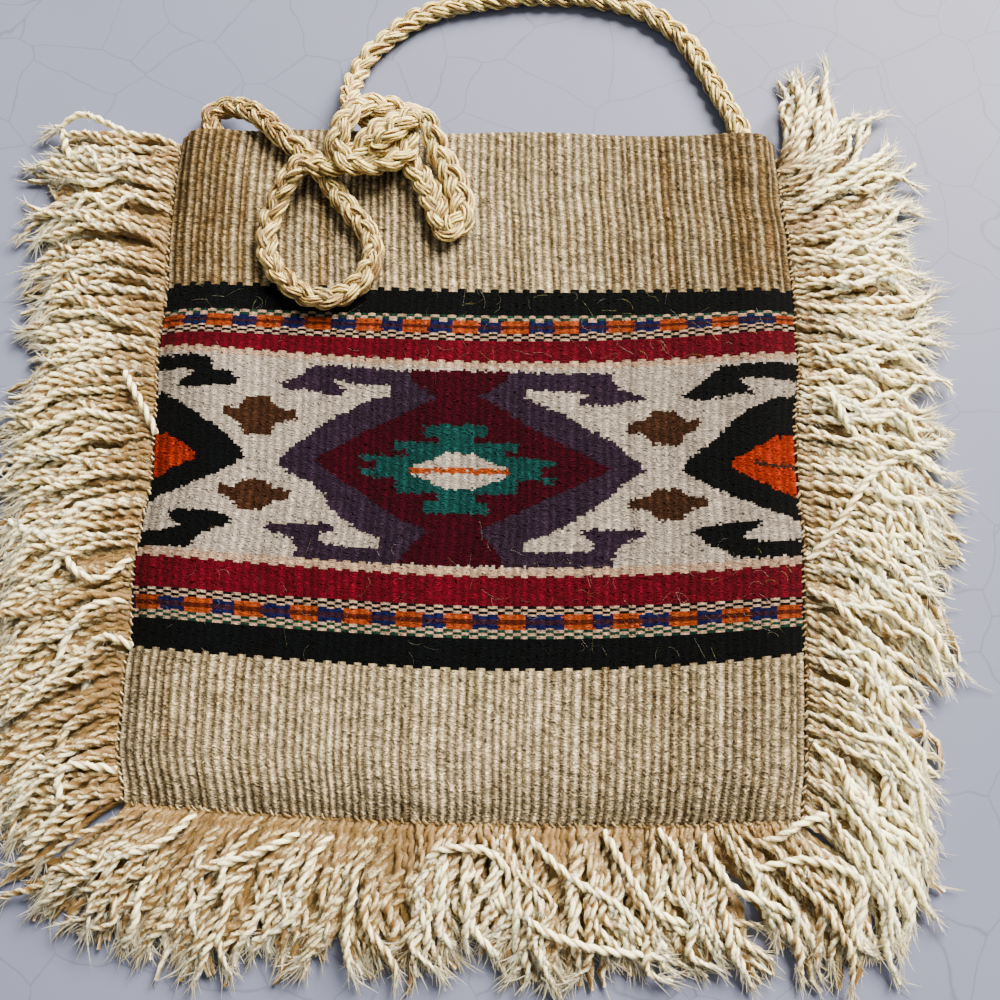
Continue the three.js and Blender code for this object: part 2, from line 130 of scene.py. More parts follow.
def cloth_grid(inset, heights):
    """Rib and pick numbers, crown of the rib, and place on the cloth, for every corner of the weave."""
    across = [r + row["across"] for r in range(RIBS) for row in RIB_SECTION] + [RIBS]
    crowns = [row["height"] for r in range(RIBS) for row in RIB_SECTION] + [0.0]
    rib, v = np.meshgrid(np.array(across), heights)
    crown = np.broadcast_to(np.array(crowns), rib.shape)
    u = np.interp(rib, np.arange(RIBS + 1), RIB_EDGES)
    y = weft_line((2 * u - 1) * HALF_WIDTH, v)
    left = seam("left", y) + inset
    right = seam("right", y) - inset
    return rib, v / PICK_PITCH, crown, left + (right - left) * u, y


def placed(name, data):
    """A new object in the scene, at the origin."""
    piece = bpy.data.objects.new(name, data)
    bpy.context.scene.collection.objects.link(piece)
    return piece


def woven_piece(name, grid, outside, inside, close, dye_and_shade, material):
    """A closed cloth: ribbed outside, plain inside, and an edge that joins the two all round."""
    rib, pick, _, x, y = grid
    rows, columns = rib.shape
    corner = np.arange(rows * columns).reshape(rows, columns)
    coarse = (slice(None, None, LINING_LINES), slice(None, None, RIB_CELLS))
    points = [np.stack([x, y, outside], -1).reshape(-1, 3)]
    points.append(np.stack([x[coarse], y[coarse], inside[coarse]], -1).reshape(-1, 3))
    weave = np.stack([rib, pick, close], -1)
    weave = [weave.reshape(-1, 3), weave[coarse].reshape(-1, 3)]
    lining = rows * columns + np.arange(x[coarse].size).reshape(x[coarse].shape)
    quads = [np.stack([g[:-1, :-1], g[:-1, 1:], g[1:, 1:], g[1:, :-1]], -1).reshape(-1, 4).tolist()
             for g in (corner, lining[:, ::-1])]
    faces = quads[0] + quads[1]
    face_dye_and_shade = [dye_and_shade.reshape(-1, 3), np.repeat(dye_and_shade[:1, :1].reshape(-1, 3), len(quads[1]), axis=0)]
    edges = [
        (corner[0], lining[0], dye_and_shade[0], RIB_CELLS),
        (corner[-1], lining[-1], dye_and_shade[-1], RIB_CELLS),
        (corner[:, 0], lining[:, 0], dye_and_shade[:, 0], LINING_LINES),
        (corner[:, -1], lining[:, -1], dye_and_shade[:, -1], LINING_LINES),
    ]
    for fine, plain, edge_dye_and_shade, step in edges:
        for k in range(len(fine) - 1):
            near = plain[k // step] if k % step < step // 2 else plain[k // step + 1]
            faces.append([int(fine[k]), int(fine[k + 1]), int(near)])
            face_dye_and_shade.append(edge_dye_and_shade[k:k + 1])
        for k in range(len(plain) - 1):
            middle = fine[k * step + step // 2]
            faces.append([int(middle), int(plain[k + 1]), int(plain[k])])
            face_dye_and_shade.append(edge_dye_and_shade[k * step:k * step + 1])
    mesh = bpy.data.meshes.new(name)
    mesh.from_pydata(np.concatenate(points) * MM, [], faces)
    shell = bmesh.new()
    shell.from_mesh(mesh)
    bmesh.ops.recalc_face_normals(shell, faces=shell.faces)
    shell.to_mesh(mesh)
    shell.free()
    woven = mesh.attributes.new("weave", "FLOAT_VECTOR", "POINT")
    woven.data.foreach_set("vector", np.concatenate(weave).ravel())
    sides = np.array([len(face) for face in faces])
    colours = np.repeat(np.concatenate(face_dye_and_shade), sides, axis=0)
    colours = np.concatenate([colours, np.ones((len(colours), 1))], axis=1)
    # The colour attribute holds the dye together with the painted highlights and shade
    mesh.color_attributes.new("dye_and_shade", "FLOAT_COLOR", "CORNER").data.foreach_set("color", colours.ravel())
    mesh.polygons.foreach_set("use_smooth", np.ones(len(faces), dtype=bool))
    mesh.materials.append(material)
    return placed(name, mesh)


def linear(colour):
    """An sRGB hex colour as linear red, green, blue."""
    parts = [int(colour[i:i + 2], 16) / 255 for i in (1, 3, 5)]
    return [p / 12.92 if p <= 0.04045 else ((p + 0.055) / 1.055) ** 2.4 for p in parts]


def add(tree, kind, links=(), **settings):
    """Adds a node with its settings, and feeds its inputs from sockets or with values."""
    node = tree.nodes.new(kind)
    for name, value in settings.items():
        setattr(node, name, value)
    for socket, source in links:
        if isinstance(source, bpy.types.NodeSocket):
            tree.links.new(source, node.inputs[socket])
        else:
            node.inputs[socket].default_value = source
    return node


def maths(tree, operation, *values, clamp=False):
    """The outcome of one step of arithmetic on sockets and values."""
    return add(tree, "ShaderNodeMath", enumerate(values), operation=operation, use_clamp=clamp).outputs[0]


def scaled(tree, vector, share):
    """A vector or a colour times a number."""
    return add(tree, "ShaderNodeVectorMath", [(0, vector), ("Scale", share)], operation="SCALE").outputs[0]


def ranged(tree, value, from_min, from_max, to_min, to_max):
    """A value carried over from one range to another."""
    limits = [("From Min", from_min), ("From Max", from_max), ("To Min", to_min), ("To Max", to_max)]
    return add(tree, "ShaderNodeMapRange", [("Value", value)] + limits).outputs[0]


def noise(tree, vector, scale, detail):
    """Soft noise over a vector."""
    links = [("Vector", vector), ("Scale", scale), ("Detail", detail)]
    return add(tree, "ShaderNodeTexNoise", links).outputs["Fac"]


def new_material(name, values):
    """A material with its tree and its shader, which has these values on its own sockets."""
    material = bpy.data.materials.new(name)
    material.use_nodes = True
    shader = material.node_tree.nodes["Principled BSDF"]
    for socket, value in values.items():
        shader.inputs[socket].default_value = value
    return material, material.node_tree, shader


# Weft-faced wool: every pick shows as a small oval of matt, slightly hairy yarn on a rib's crown
def weft_faced_wool():
    material, tree, shader = new_material("weft_faced_wool", {
        "Roughness": 0.92,
        "Specular IOR Level": 0.03,
        "Sheen Weight": 0.006,
        "Sheen Roughness": 0.6,
    })
    dye_and_shade = add(tree, "ShaderNodeAttribute", attribute_name="dye_and_shade").outputs["Color"]
    weave = add(tree, "ShaderNodeAttribute", attribute_name="weave").outputs["Vector"]
    spot = add(tree, "ShaderNodeTexCoord").outputs["Object"]
    place = add(tree, "ShaderNodeSeparateXYZ", [(0, weave)]).outputs
    # Where a point lies: rib, place across it, and pick, which starts anew and wavers from rib to rib
    rib = maths(tree, "FLOOR", place["X"])
    centred = maths(tree, "SUBTRACT", maths(tree, "FRACT", place["X"]), 0.5)
    outward = maths(tree, "ABSOLUTE", centred)
    square = maths(tree, "POWER", centred, 2.0)
    offset = add(tree, "ShaderNodeTexWhiteNoise", [("W", rib)], noise_dimensions="1D").outputs["Value"]
    waver = noise(tree, spot, 380.0, 2.0)
    begun = maths(tree, "MULTIPLY_ADD", offset, 3.0, place["Y"])
    wavy = maths(tree, "MULTIPLY_ADD", waver, 4.0, begun)
    bent = maths(tree, "MULTIPLY_ADD", square, -1.2, wavy)
    slanted = maths(tree, "MULTIPLY_ADD", centred, 1.3, bent)
    pick = maths(tree, "FLOOR", slanted)
    along = maths(tree, "FRACT", slanted)
    crown = maths(tree, "SINE", maths(tree, "MULTIPLY", along, math.pi))
    stitch = add(tree, "ShaderNodeCombineXYZ", [(0, rib), (1, pick)]).outputs[0]
    random = add(tree, "ShaderNodeTexWhiteNoise", [("Vector", stitch)], noise_dimensions="2D")
    # Fibres lie nearly along the weft, so the grain is longer across the bag than down it
    grain = add(tree, "ShaderNodeMapping",
                [("Vector", spot), ("Rotation", (0, 0, 0.5)), ("Scale", (700, 1300, 700))]).outputs[0]
    fibre = noise(tree, grain, 1.0, 3.0)
    cloud = noise(tree, spot, 45.0, 2.0)
    # Each pick has its own shade, and its ends, its fibres, slow clouds and the grooves change it further
    shade = ranged(tree, random.outputs["Value"], 0.0, 1.0, 0.56, 1.42)
    for other in (
        # Painted shade at each pick's ends, where the picks meet
        ranged(tree, crown, 0.0, 1.0, 0.55, 1.2),
        ranged(tree, fibre, 0.3, 0.7, 0.4, 1.85),
        ranged(tree, cloud, 0.3, 0.7, 0.9, 1.1),
        # Painted shade in the grooves between ribs, and a painted highlight on the middle of each crown
        ranged(tree, outward, 0.05, 0.5, 1.28, 0.34),
    ):
        shade = maths(tree, "MULTIPLY", shade, other)
    # Where the weft is beaten closer the cloth is smoother, and all of this shows half as much
    contrast = maths(tree, "MULTIPLY_ADD", place["Z"], -0.5, 1.0)
    change = maths(tree, "SUBTRACT", shade, 1.0)
    shade = maths(tree, "MULTIPLY_ADD", change, contrast, 1.0)
    tree.links.new(scaled(tree, dye_and_shade, shade), shader.inputs["Base Color"])
    relief = maths(tree, "MULTIPLY_ADD", fibre, 0.9, crown)
    bump = add(tree, "ShaderNodeBump", [("Height", relief), ("Strength", 0.7), ("Distance", 0.2 * MM)])
    tree.links.new(bump.outputs[0], shader.inputs["Normal"])
    return material


WOOL_CLOTH = weft_faced_wool()
TAN = "#46371f"
CREAM = "#8e836c"
# Shares of cream in the tan: by turns in the ribs, then what a rib's two sides and its crown add
RIB_SHARES = (0.51, 0.42)
# A rib's lower share on its sides is painted shade, and its higher share on its crown a painted highlight
CROWN_SHARES = (-0.14, 0.14, -0.06)
SHARE_SPREAD = 0.07
DRIFT = 0.08
DRIFT_LINES = 13
MOST_CREAM = 1.15
SIDE_TAN = 0.52
BOTTOM_SHARE = 0.3
BOTTOM_CREAM = 0.1


def undyed(rng, lines):
    """The ground of undyed wool: every rib has its own mix of tan and cream, which drifts down the cloth."""
    ribs = np.resize(RIB_SHARES, RIBS) + rng.normal(0, SHARE_SPREAD, RIBS)
    drift = rng.normal(0, 1, (lines + DRIFT_LINES - 1, RIBS))
    drift = np.apply_along_axis(np.convolve, 0, drift, np.ones(DRIFT_LINES) / DRIFT_LINES ** 0.5, "valid")
    share = np.repeat(ribs + DRIFT * drift, RIB_CELLS, axis=1)
    # Painted highlights on the crowns and painted shade on the ribs' sides
    share = share + np.tile(CROWN_SHARES, RIBS) + rng.normal(0, SHARE_SPREAD, share.shape)
    # Towards both sides, more at the top, the ground turns darker and tanner: partly the wool's own tone,
    # partly painted shade
    side_tone_and_shade = np.abs(np.linspace(-1, 1, share.shape[1])) ** 2
    share = share - SIDE_TAN * side_tone_and_shade * np.linspace(BOTTOM_SHARE, 1, lines)[:, None]
    share = share + np.linspace(BOTTOM_CREAM, 0, lines)[:, None]
    share = np.clip(share, 0, MOST_CREAM)[..., None]
    return np.array(linear(TAN)) * (1 - share) + np.array(linear(CREAM)) * share


back_grid = cloth_grid(0, np.linspace(BOTTOM_Y, MOUTH_Y, BACK_LINES + 1))
back_ground = undyed(np.random.default_rng(CLOTH_SEED), BACK_LINES)
back = woven_piece(
    "back_cloth",
    back_grid,
    RIB_HEIGHT * (1 - back_grid[2]),
    np.full(back_grid[0].shape, CLOTH),
    np.zeros(back_grid[0].shape),
    back_ground,
    WOOL_CLOTH,
)
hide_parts("back_panel")
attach(back, "root")

# Front panel
# The same cloth, woven with a band of hooked medallions between striped borders in dyed wool.
# It is sewn to the back along three sides and rises over the empty pocket, open at the mouth.
POCKET = 6.4
SEAM_RISE = 26
SEAM_ROUND = 2.5
CORNER_RISE = 9
CORNER_ROUND = 3
CORNER_REACH = 45
FRONT_INSET = 2.5
SWELLS = [
    dict(x=-126, width=11, rise=2.4, reach=34),
    dict(x=58, width=30, rise=0.8, reach=200),
    dict(x=123, width=13, rise=2.2, reach=40),
]
FRONT_EDGE = 0.4
EDGE_ROUND = 2.0
UNEVEN = 0.25
UNEVEN_REACH = 20
RAGGED = 0.4
RIGHT_SHADE = 0.2
RIGHT_SHADE_START = 30
RIGHT_SHADE_REACH = 100
RIB_DYE_SPREAD = 0.1
CELL_DYE_SPREAD = 0.12
DOT_LINES = 2
BAND_LOW = -100
BAND_HIGH = 75
BAND_BLEND = 4
BAND_RIB_SHARE = 0.45
DYES = dict(
    black="#010203",
    red="#330109",
    maroon="#1a0005",
    purple="#150d18",
    teal="#042121",
    orange="#5c1301",
    amber="#5c2309",
    rust="#2c0c04",
    blue="#040725",
    plum="#170813",
    brown="#1e1008",
    green="#061d15",
    white="#6c655f",
    blush="#715e4f",
)
# Stripes from the mouth down: where each ends in the middle of the cloth, the lines that it is woven in,
# and how many of those every other rib leaves to the next stripe
STRIPES = [
    dict(end=71.5, lines=54, teeth=1, weave="ground"),
    dict(end=60.2, lines=10, teeth=0, weave="black"),
    dict(end=57.6, lines=4, teeth=0, weave="green dots"),
    dict(end=51.4, lines=8, teeth=0, weave="upper checks"),
    dict(end=48.0, lines=6, teeth=0, weave="black dots"),
    dict(end=37.5, lines=10, teeth=1, weave="red"),
    dict(end=34.6, lines=3, teeth=1, weave="blush"),
    dict(end=-54.6, lines=105, teeth=1, weave="field"),
    dict(end=-58.2, lines=4, teeth=1, weave="blush"),
    dict(end=-70.3, lines=11, teeth=0, weave="red"),
    dict(end=-73.7, lines=6, teeth=0, weave="black dots"),
    dict(end=-80.2, lines=9, teeth=0, weave="lower checks"),
    dict(end=-83.9, lines=6, teeth=0, weave="green dots"),
    dict(end=-97.2, lines=12, teeth=1, weave="black"),
    dict(end=BOTTOM_Y, lines=40, teeth=0, weave="ground"),
]
CHECK_HALF = 5.7
CHECK_CORE = 0.14
SHOULDER_RISE = 3.5
SHOULDER_DROP = 3
NUB_HALF = 2
UPPER_CHECKS = (-134, -112, -90, -68.7, -47, -26, -4.6, 17, 39, 62.4, 85, 108, 136)
LOWER_CHECKS = (-132, -110, -89, -66, -44, -23, -2.4, 19, 46.7, 66, 89, 110.6, 133)
# The chart of the motifs is drawn about one part in a hundred larger than the cloth
CHART_SCALE = 0.991
CHART_X = 0.2
CHART_Y = -1.1


def bar(left, right, low, high):
    return [(left, low), (right, low), (right, high), (left, high)]


def lozenge(left, right, low, high, left_nub, right_nub):
    """A small stepped lozenge with a nub at each side."""
    slope = (right - left) / 5
    upper = (low + high) / 2 + SHOULDER_RISE
    lower = (low + high) / 2 - SHOULDER_DROP
    return [
        (left_nub[0], left_nub[1] + NUB_HALF), (left, upper), (left + slope, high), (right - slope, high),
        (right, upper), (right_nub[0], right_nub[1] + NUB_HALF), (right_nub[0], right_nub[1] - NUB_HALF),
        (right, lower), (right - slope, low), (left + slope, low), (left, lower),
        (left_nub[0], left_nub[1] - NUB_HALF),
    ]


# The motifs in the order they are laid over each other
MOTIFS = [
    ("purple", [
        (-29, 35), (-70, 37), (-76, 32), (-85, 28), (-82, 24.5), (-75, 25.5), (-63.5, 23), (-56.5, 22.5),
        (-56.5, 25.5), (-62.5, 30.5), (-52.5, 28.5), (-36.5, 27.5), (-36.5, 23), (-44, 21.5), (-56, 15),
        (-63.5, 10.5), (-70, 5), (-77.5, -0.5), (-84.5, -8.5), (-77.5, -14.5), (-71, -17), (-64.5, -22),
        (-60, -28.5), (-52.5, -34.5), (-48.5, -37.5), (-37.5, -41.5), (-37.5, -46), (-58, -45),
        (-63.5, -42.5), (-63.5, -40.5), (-56.5, -38.5), (-58, -35.5), (-85.5, -36), (-87, -37.5),
        (-84, -39.5), (-75.5, -42), (-72, -46), (-72, -53), (-29, -53), (-16, -38.5), (-15.5, 22.5),
    ]),
    ("purple", [
        (15.5, 35), (2, 23.5), (3, -37.5), (15.5, -53), (60.5, -53), (60.5, -48), (63.5, -42),
        (68, -40.5), (76.5, -37), (71.5, -35.5), (50.5, -35.5), (45, -37.5), (52, -42), (52, -46),
        (22.5, -46), (23.5, -42), (40, -35), (49.5, -28.5), (59.5, -21), (66, -14.5), (74.5, -9),
        (68, -2.5), (58.5, 5.5), (51.5, 8.5), (40, 15), (28, 20.5), (22.5, 23), (22.5, 26.5),
        (51.5, 25.5), (45.5, 22), (46.5, 20), (60.5, 20), (62.5, 21.5), (75.5, 23.5), (63.5, 28),
        (60.5, 31), (59.5, 35),
    ]),
    ("maroon", [
        (-28.5, 35), (15.5, 35), (12.5, 30), (8.5, 27), (2, 23.5), (8.5, 20.5), (20, 12.5), (33, 5),
        (47.5, -2.5), (59.5, -9), (47.5, -15.5), (31, -23), (16, -31), (3, -37.5), (11.5, -45),
        (15.5, -53), (-29.5, -53), (-26.5, -48), (-23, -42), (-16.5, -38.5), (-32, -32), (-45, -23),
        (-58, -15.5), (-68.5, -7), (-58, -0.5), (-47, 6), (-30, 15), (-15.5, 22.5), (-22, 26.5),
        (-26.5, 29),
    ]),
    ("teal", bar(-21, 7, 4.5, 10)),
    ("teal", bar(-14.5, 0.5, 1.5, 8)),
    ("teal", bar(-34, 20, -2, 2)),
    ("teal", bar(-28.5, 14.5, -5.5, -0.5)),
    ("teal", bar(-42, 30, -14.5, -4.5)),
    ("teal", bar(-48, -42, -7, -4.5)),
    ("teal", bar(-48, -42, -13.5, -10.5)),
    ("teal", bar(30, 35.5, -8, -5.5)),
    ("teal", bar(30, 35.5, -16.5, -13.5)),
    ("teal", bar(-33, 19, -21, -14.5)),
    ("teal", bar(-14.5, 1.5, -29, -21)),
    ("teal", bar(-20.5, 7, -30, -25)),
    ("white", [
        (-11, -3), (-0.5, -3), (15.5, -9.5), (15.5, -12.5), (1.5, -19), (-11, -19), (-26.5, -12.5),
        (-26.5, -9.5),
    ]),
    ("amber", bar(-27, 15.5, -12.1, -9.7)),
    ("brown", lozenge(-102.5, -85, 4, 21.5, (-109, 15), (-76.5, 13.5))),
    ("brown", lozenge(74.5, 92, 2.5, 18, (67, 9.5), (98.5, 13.5))),
    ("brown", lozenge(-102.5, -85.5, -30, -16.5, (-109, -20.5), (-78, -23.5))),
    ("brown", lozenge(75.5, 92, -31, -17, (66.5, -24.5), (100, -22))),
    ("black", [
        (-150, 42.5), (-119, 41), (-115, 39.5), (-114.5, 34.5), (-106, 33), (-102, 29.5), (-103.5, 27),
        (-117, 26.5), (-126.5, 25.5), (-130.5, 27), (-127.5, 30), (-123, 31.5), (-123.5, 33.5),
        (-126.5, 34.5), (-150, 35),
    ]),
    ("black", [
        (-150, 26), (-136.5, 24), (-127.5, 18), (-118, 11.5), (-110, 7), (-101.5, -1.5), (-98.5, -7),
        (-110, -13.5), (-123, -19), (-136.5, -24.5), (-150, -31),
    ]),
    ("orange", [
        (-150, 5.5), (-134, 4.5), (-126.5, -0.5), (-120.5, -4.5), (-120.5, -8), (-130, -10.5),
        (-135.5, -14.5), (-150, -15.5),
    ]),
    ("black", [
        (-150, -40), (-126.5, -38.5), (-123, -37), (-126.5, -34.5), (-130, -31), (-124.5, -30),
        (-108, -31), (-100.5, -34), (-101.5, -36.5), (-108, -38.5), (-114.5, -42), (-116.5, -47),
        (-150, -46.5),
    ]),
    ("black", [
        (106.5, 40), (150, 45), (150, 36.5), (114.5, 34), (114.5, 32.5), (119, 30), (121.5, 27),
        (112.5, 26.5), (97.5, 23), (90, 24.5), (95.5, 29), (100.5, 34.5),
    ]),
    ("black", [
        (150, 33), (130, 25.5), (121.5, 21.5), (113.5, 15), (105, 6), (93, -3.5), (89.5, -9),
        (99.5, -14.5), (114.5, -21), (129, -25.5), (150, -32),
    ]),
    ("orange", [
        (150, 13), (131, 8), (121.5, 2), (118, -0.5), (111.5, -2.5), (111.5, -7), (120, -11.5),
        (133, -16.5), (150, -20),
    ]),
    ("brown", bar(120, 150, -5.6, -3.8)),
    ("black", [
        (92, -36.5), (95.5, -34), (103, -32), (114.5, -31), (122, -30), (122.5, -32), (116, -35),
        (115, -38), (123.5, -38.5), (150, -36.5), (150, -44), (110.5, -47), (108, -45), (99.5, -40.5),
    ]),
]


def inside_outline(outline, x, y):
    """Which points lie inside a closed outline, by counting the edges to their right."""
    found = np.zeros(x.shape, dtype=bool)
    for (ax, ay), (bx, by) in zip(outline, outline[1:] + outline[:1]):
        if ay != by:
            crosses = (ay > y) != (by > y)
            found ^= crosses & (x < ax + (bx - ax) * (y - ay) / (by - ay))
    return found


def pocket_height(x, y):
    side_distance = np.minimum(x - seam("left", y), seam("right", y) - x) - FRONT_INSET
    bottom_distance = y - weft_line(x, np.full(x.shape, float(BOTTOM_Y))) - FRONT_INSET
    opening = ease(1 - (MOUTH_Y - y) / CORNER_REACH)
    reach = SEAM_RISE + (CORNER_RISE - SEAM_RISE) * opening
    power = SEAM_ROUND + (CORNER_ROUND - SEAM_ROUND) * opening
    side = 1 - (1 - np.clip(side_distance / reach, 0, 1)) ** power
    bottom = 1 - (1 - np.clip(bottom_distance / SEAM_RISE, 0, 1)) ** SEAM_ROUND
    swell = sum(row["rise"] * np.exp(-((x - row["x"]) / row["width"]) ** 2)
                * ease(1 - (MOUTH_Y - y) / row["reach"]) for row in SWELLS)
    return (POCKET + swell) * side * bottom


def stripe_lines():
    """Heights of the weave's lines from the bottom up, so that every stripe starts and ends on one."""
    heights = [MOUTH_Y]
    for stripe in STRIPES:
        heights += np.linspace(heights[-1], stripe["end"], stripe["lines"] + 1)[1:].tolist()
    return np.array(heights[::-1])


def woven_chart(rng, heights):
    """The dye of every cell of the weave, with the ground's painted highlights and shade, and painted shade
    towards the right.
    """
    lines = len(heights) - 1
    cell, line = np.meshgrid(np.arange(RIBS * RIB_CELLS), np.arange(lines))
    rib = cell // RIB_CELLS
    u = np.interp((cell + 0.5) / RIB_CELLS, np.arange(RIBS + 1), RIB_EDGES)
    x = (2 * u - 1) * HALF_WIDTH
    y = weft_line(x, ((heights[1:] + heights[:-1]) / 2)[line]) + rng.normal(0, RAGGED, x.shape)
    x = x + rng.normal(0, RAGGED, x.shape)
    stitches = undyed(rng, lines)
    dyes = {name: np.array(linear(colour)) for name, colour in DYES.items()}
    down = lines - 1 - line
    start = 0
    teeth_above = 0
    for stripe in STRIPES:
        end = start + stripe["lines"]
        # A pick passes over every other rib, so neighbouring ribs change colour at different heights
        rows = (down >= start - teeth_above * (rib % 2)) & (down < end - stripe["teeth"] * (rib % 2))
        row = down - start
        kind = stripe["weave"]
        if kind in dyes:
            stitches[rows] = dyes[kind]
        if kind == "field":
            stitches[rows] = dyes["white"]
            for name, outline in MOTIFS:
                drawn = [(CHART_X + px * CHART_SCALE, CHART_Y + py * CHART_SCALE) for px, py in outline]
                stitches[rows & inside_outline(drawn, x, y)] = dyes[name]
        if kind.endswith("dots"):
            dark = (rib + row // DOT_LINES) % 2 == 1
            stitches[rows & dark] = dyes[kind.split()[0]]
            stitches[rows & ~dark] = dyes["blush"]
        if kind.endswith("checks"):
            centres = np.array(UPPER_CHECKS if kind.startswith("upper") else LOWER_CHECKS)
            near = np.min(np.abs(x[..., None] - centres), axis=-1) < CHECK_HALF
            middle = np.abs(row + 0.5 - stripe["lines"] / 2) < CHECK_CORE * stripe["lines"]
            fleck = ((row == 0) | (row == stripe["lines"] - 1)) & (rib % 2 == 1)
            for test, name in ((near & ~middle, "amber"), (near & middle, "rust"), (~near & ~middle, "blue"),
                               (~near & middle, "plum"), (~near & fleck, "blush")):
                stitches[rows & test] = dyes[name]
        start = end
        teeth_above = stripe["teeth"]
    # Uneven dyeing: each rib takes the dye a little differently. The right side is darkened a little: painted
    # shade
    ribs = np.repeat(rng.normal(0, RIB_DYE_SPREAD, RIBS), RIB_CELLS)
    right_shade = RIGHT_SHADE * ease((x - RIGHT_SHADE_START) / RIGHT_SHADE_REACH)
    return stitches * (1 + ribs - right_shade + rng.normal(0, CELL_DYE_SPREAD, stitches.shape[:2]))[..., None]


front_lines = stripe_lines()
front_grid = cloth_grid(FRONT_EDGE, front_lines)
chart = woven_chart(np.random.default_rng(CLOTH_SEED + 1), front_lines)
pick, crown, x, y = front_grid[1:]
# The dyed band is beaten closer than the ground, so its ribs stand out less
v = pick * PICK_PITCH
in_band = ease((v - BAND_LOW) / BAND_BLEND) * ease((BAND_HIGH - v) / BAND_BLEND)
rib_height = RIB_HEIGHT * (1 + (BAND_RIB_SHARE - 1) * in_band)
hollow = CLOTH + GAP + pocket_height(x, y)
to_edge = np.minimum(np.minimum(x - x[:, :1], x[:, -1:] - x), np.minimum(y - y[:1], y[-1:] - y))
rounding = EDGE_ROUND - np.sqrt(EDGE_ROUND ** 2 - np.clip(EDGE_ROUND - to_edge, 0, EDGE_ROUND) ** 2)
# Slow waves that bend each other, because handwoven cloth never lies quite flat
uneven = UNEVEN * (np.sin(x / 23 + 1.3 * np.sin(y / 31)) + np.sin(y / 17 + 1.1 * np.sin(x / 41)))
front = woven_piece(
    "front_cloth",
    front_grid,
    hollow + CLOTH - rounding - rib_height * (1 - crown) + uneven * ease(to_edge / UNEVEN_REACH),
    hollow,
    in_band,
    chart,
    WOOL_CLOTH,
)
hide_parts("front_panel")
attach(front, "root")

# Fringes
# Long two-ply yarns of undyed wool, looped into a heading that is sewn outside each seam.
# They hang together in loose locks, and their cut ends have opened into a fluffy brush.
YARN_RADIUS = 1.95
YARN_TURN = 12
CRIMP_LENGTH = 22
PILE_HEIGHT = 9
# A row for each lock: its root's place along the seam, the x and y of its tip, and its bow to its left
LOCK_COLUMNS = ("root", "x", "y", "bow")
LEFT_LOCKS = [
    (140, -211, 145, -2), (133, -205, 138, -2), (125, -217, 129, 2), (117, -208, 116, -4),
    (106, -215, 104, -5), (95, -203, 93, -5), (83, -213, 80, -4), (71, -211, 67, -4), (59, -210, 51, -5),
    (46, -206, 36, -5), (33, -211, 19, -4), (20, -214, 3, -4), (6, -212, -14, -5), (-8, -214, -31, -4),
    (-22, -211, -49, -5), (-36, -212, -66, -4), (-50, -209, -84, -5), (-64, -210, -100, -5),
    (-78, -207, -116, -4), (-92, -205, -131, -5), (-106, -203, -145, -4), (-120, -199, -156, -4),
    (-134, -193, -167, -3), (-146, -185, -175, -2),
]
RIGHT_LOCKS = [
    (139, 151, 193, -5), (133, 167, 194, -6), (126, 183, 175, -3), (116, 202, 143, 3),
    (105, 204, 126, -2), (94, 200, 107, -3), (82, 206, 88, 3), (70, 214, 80, -4), (57, 209, 61, -5),
    (44, 207, 40, 2), (32, 184, 27, 2), (19, 211, 7, 3), (5, 212, -20, 5), (-10, 216, -40, 6),
    (-26, 207, -56, 4), (-42, 204, -77, 6), (-57, 208, -92, 5), (-71, 190, -107, 4), (-85, 185, -124, 5),
    (-99, 196, -141, 6), (-113, 193, -160, 7), (-127, 194, -179, 6), (-140, 183, -194, 7),
    (-149, 178, -204, 5),
]
BOTTOM_LOCKS = [
    (-133, -177, -192, 2), (-124, -166, -202, -3), (-113, -150, -211, -4), (-102, -133, -213, -5),
    (-91, -119, -214, -5), (-80, -108, -223, -6), (-68, -96, -223, -5), (-56, -75, -216, -4),
    (-44, -61, -217, -5), (-33, -34, -219, -7), (-22, -22, -221, -6), (-11, -10, -221, -5),
    (0, 3, -208, -3), (11, 16, -209, 3), (22, 25, -218, 4), (34, 37, -221, -3), (46, 51, -220, 3),
    (58, 73, -216, -5), (70, 86, -209, -4), (82, 102, -214, -6), (94, 121, -213, -7), (106, 137, -208, 7),
    (117, 152, -218, 9), (128, 164, -209, 8),
]
YARN_POINTS = 18
ROOT_SCATTER = 0.5
LOCK_SCATTER = 3
TIP_SCATTER = 3
YARN_LENGTHS = (0.78, 0.98)
# What chance adds: the least, and how much more where yarns lie high in the pile or are tousled
TIP_DRIFT = dict(least=2, by_level=7)
BOW_DRIFT = dict(least=4, by_tousle=6)
SWAY = dict(least=1.2, by_tousle=1.4)
SWAY_WAVES = (1.0, 2.4)
CRIMPS = (0.4, 1.3)
RISE_WAVER = 0.4
# How the two ends of a yarn are drawn to its middle, and how squarely it leaves the seam
ROOT_PULL = 0.4
TIP_PULL = 0.62
SQUARE_OUT = 0.16
# How a yarn rises into the pile, tapers and lightens, from the seam to the tip; its darker roots are painted
# shade under the front's edge
PILE_RISE = dict(at=(0, 0.15, 0.45, 0.8, 1), share=(0.25, 0.65, 1, 0.75, 0.3))
YARN_TAPER = dict(at=(0, 0.8, 1), share=(1, 1, 0.4))
YARN_TONE = dict(at=(0, 0.15, 0.4, 0.75, 1), more=(-0.6, -0.42, -0.02, 0.12, 0.32))
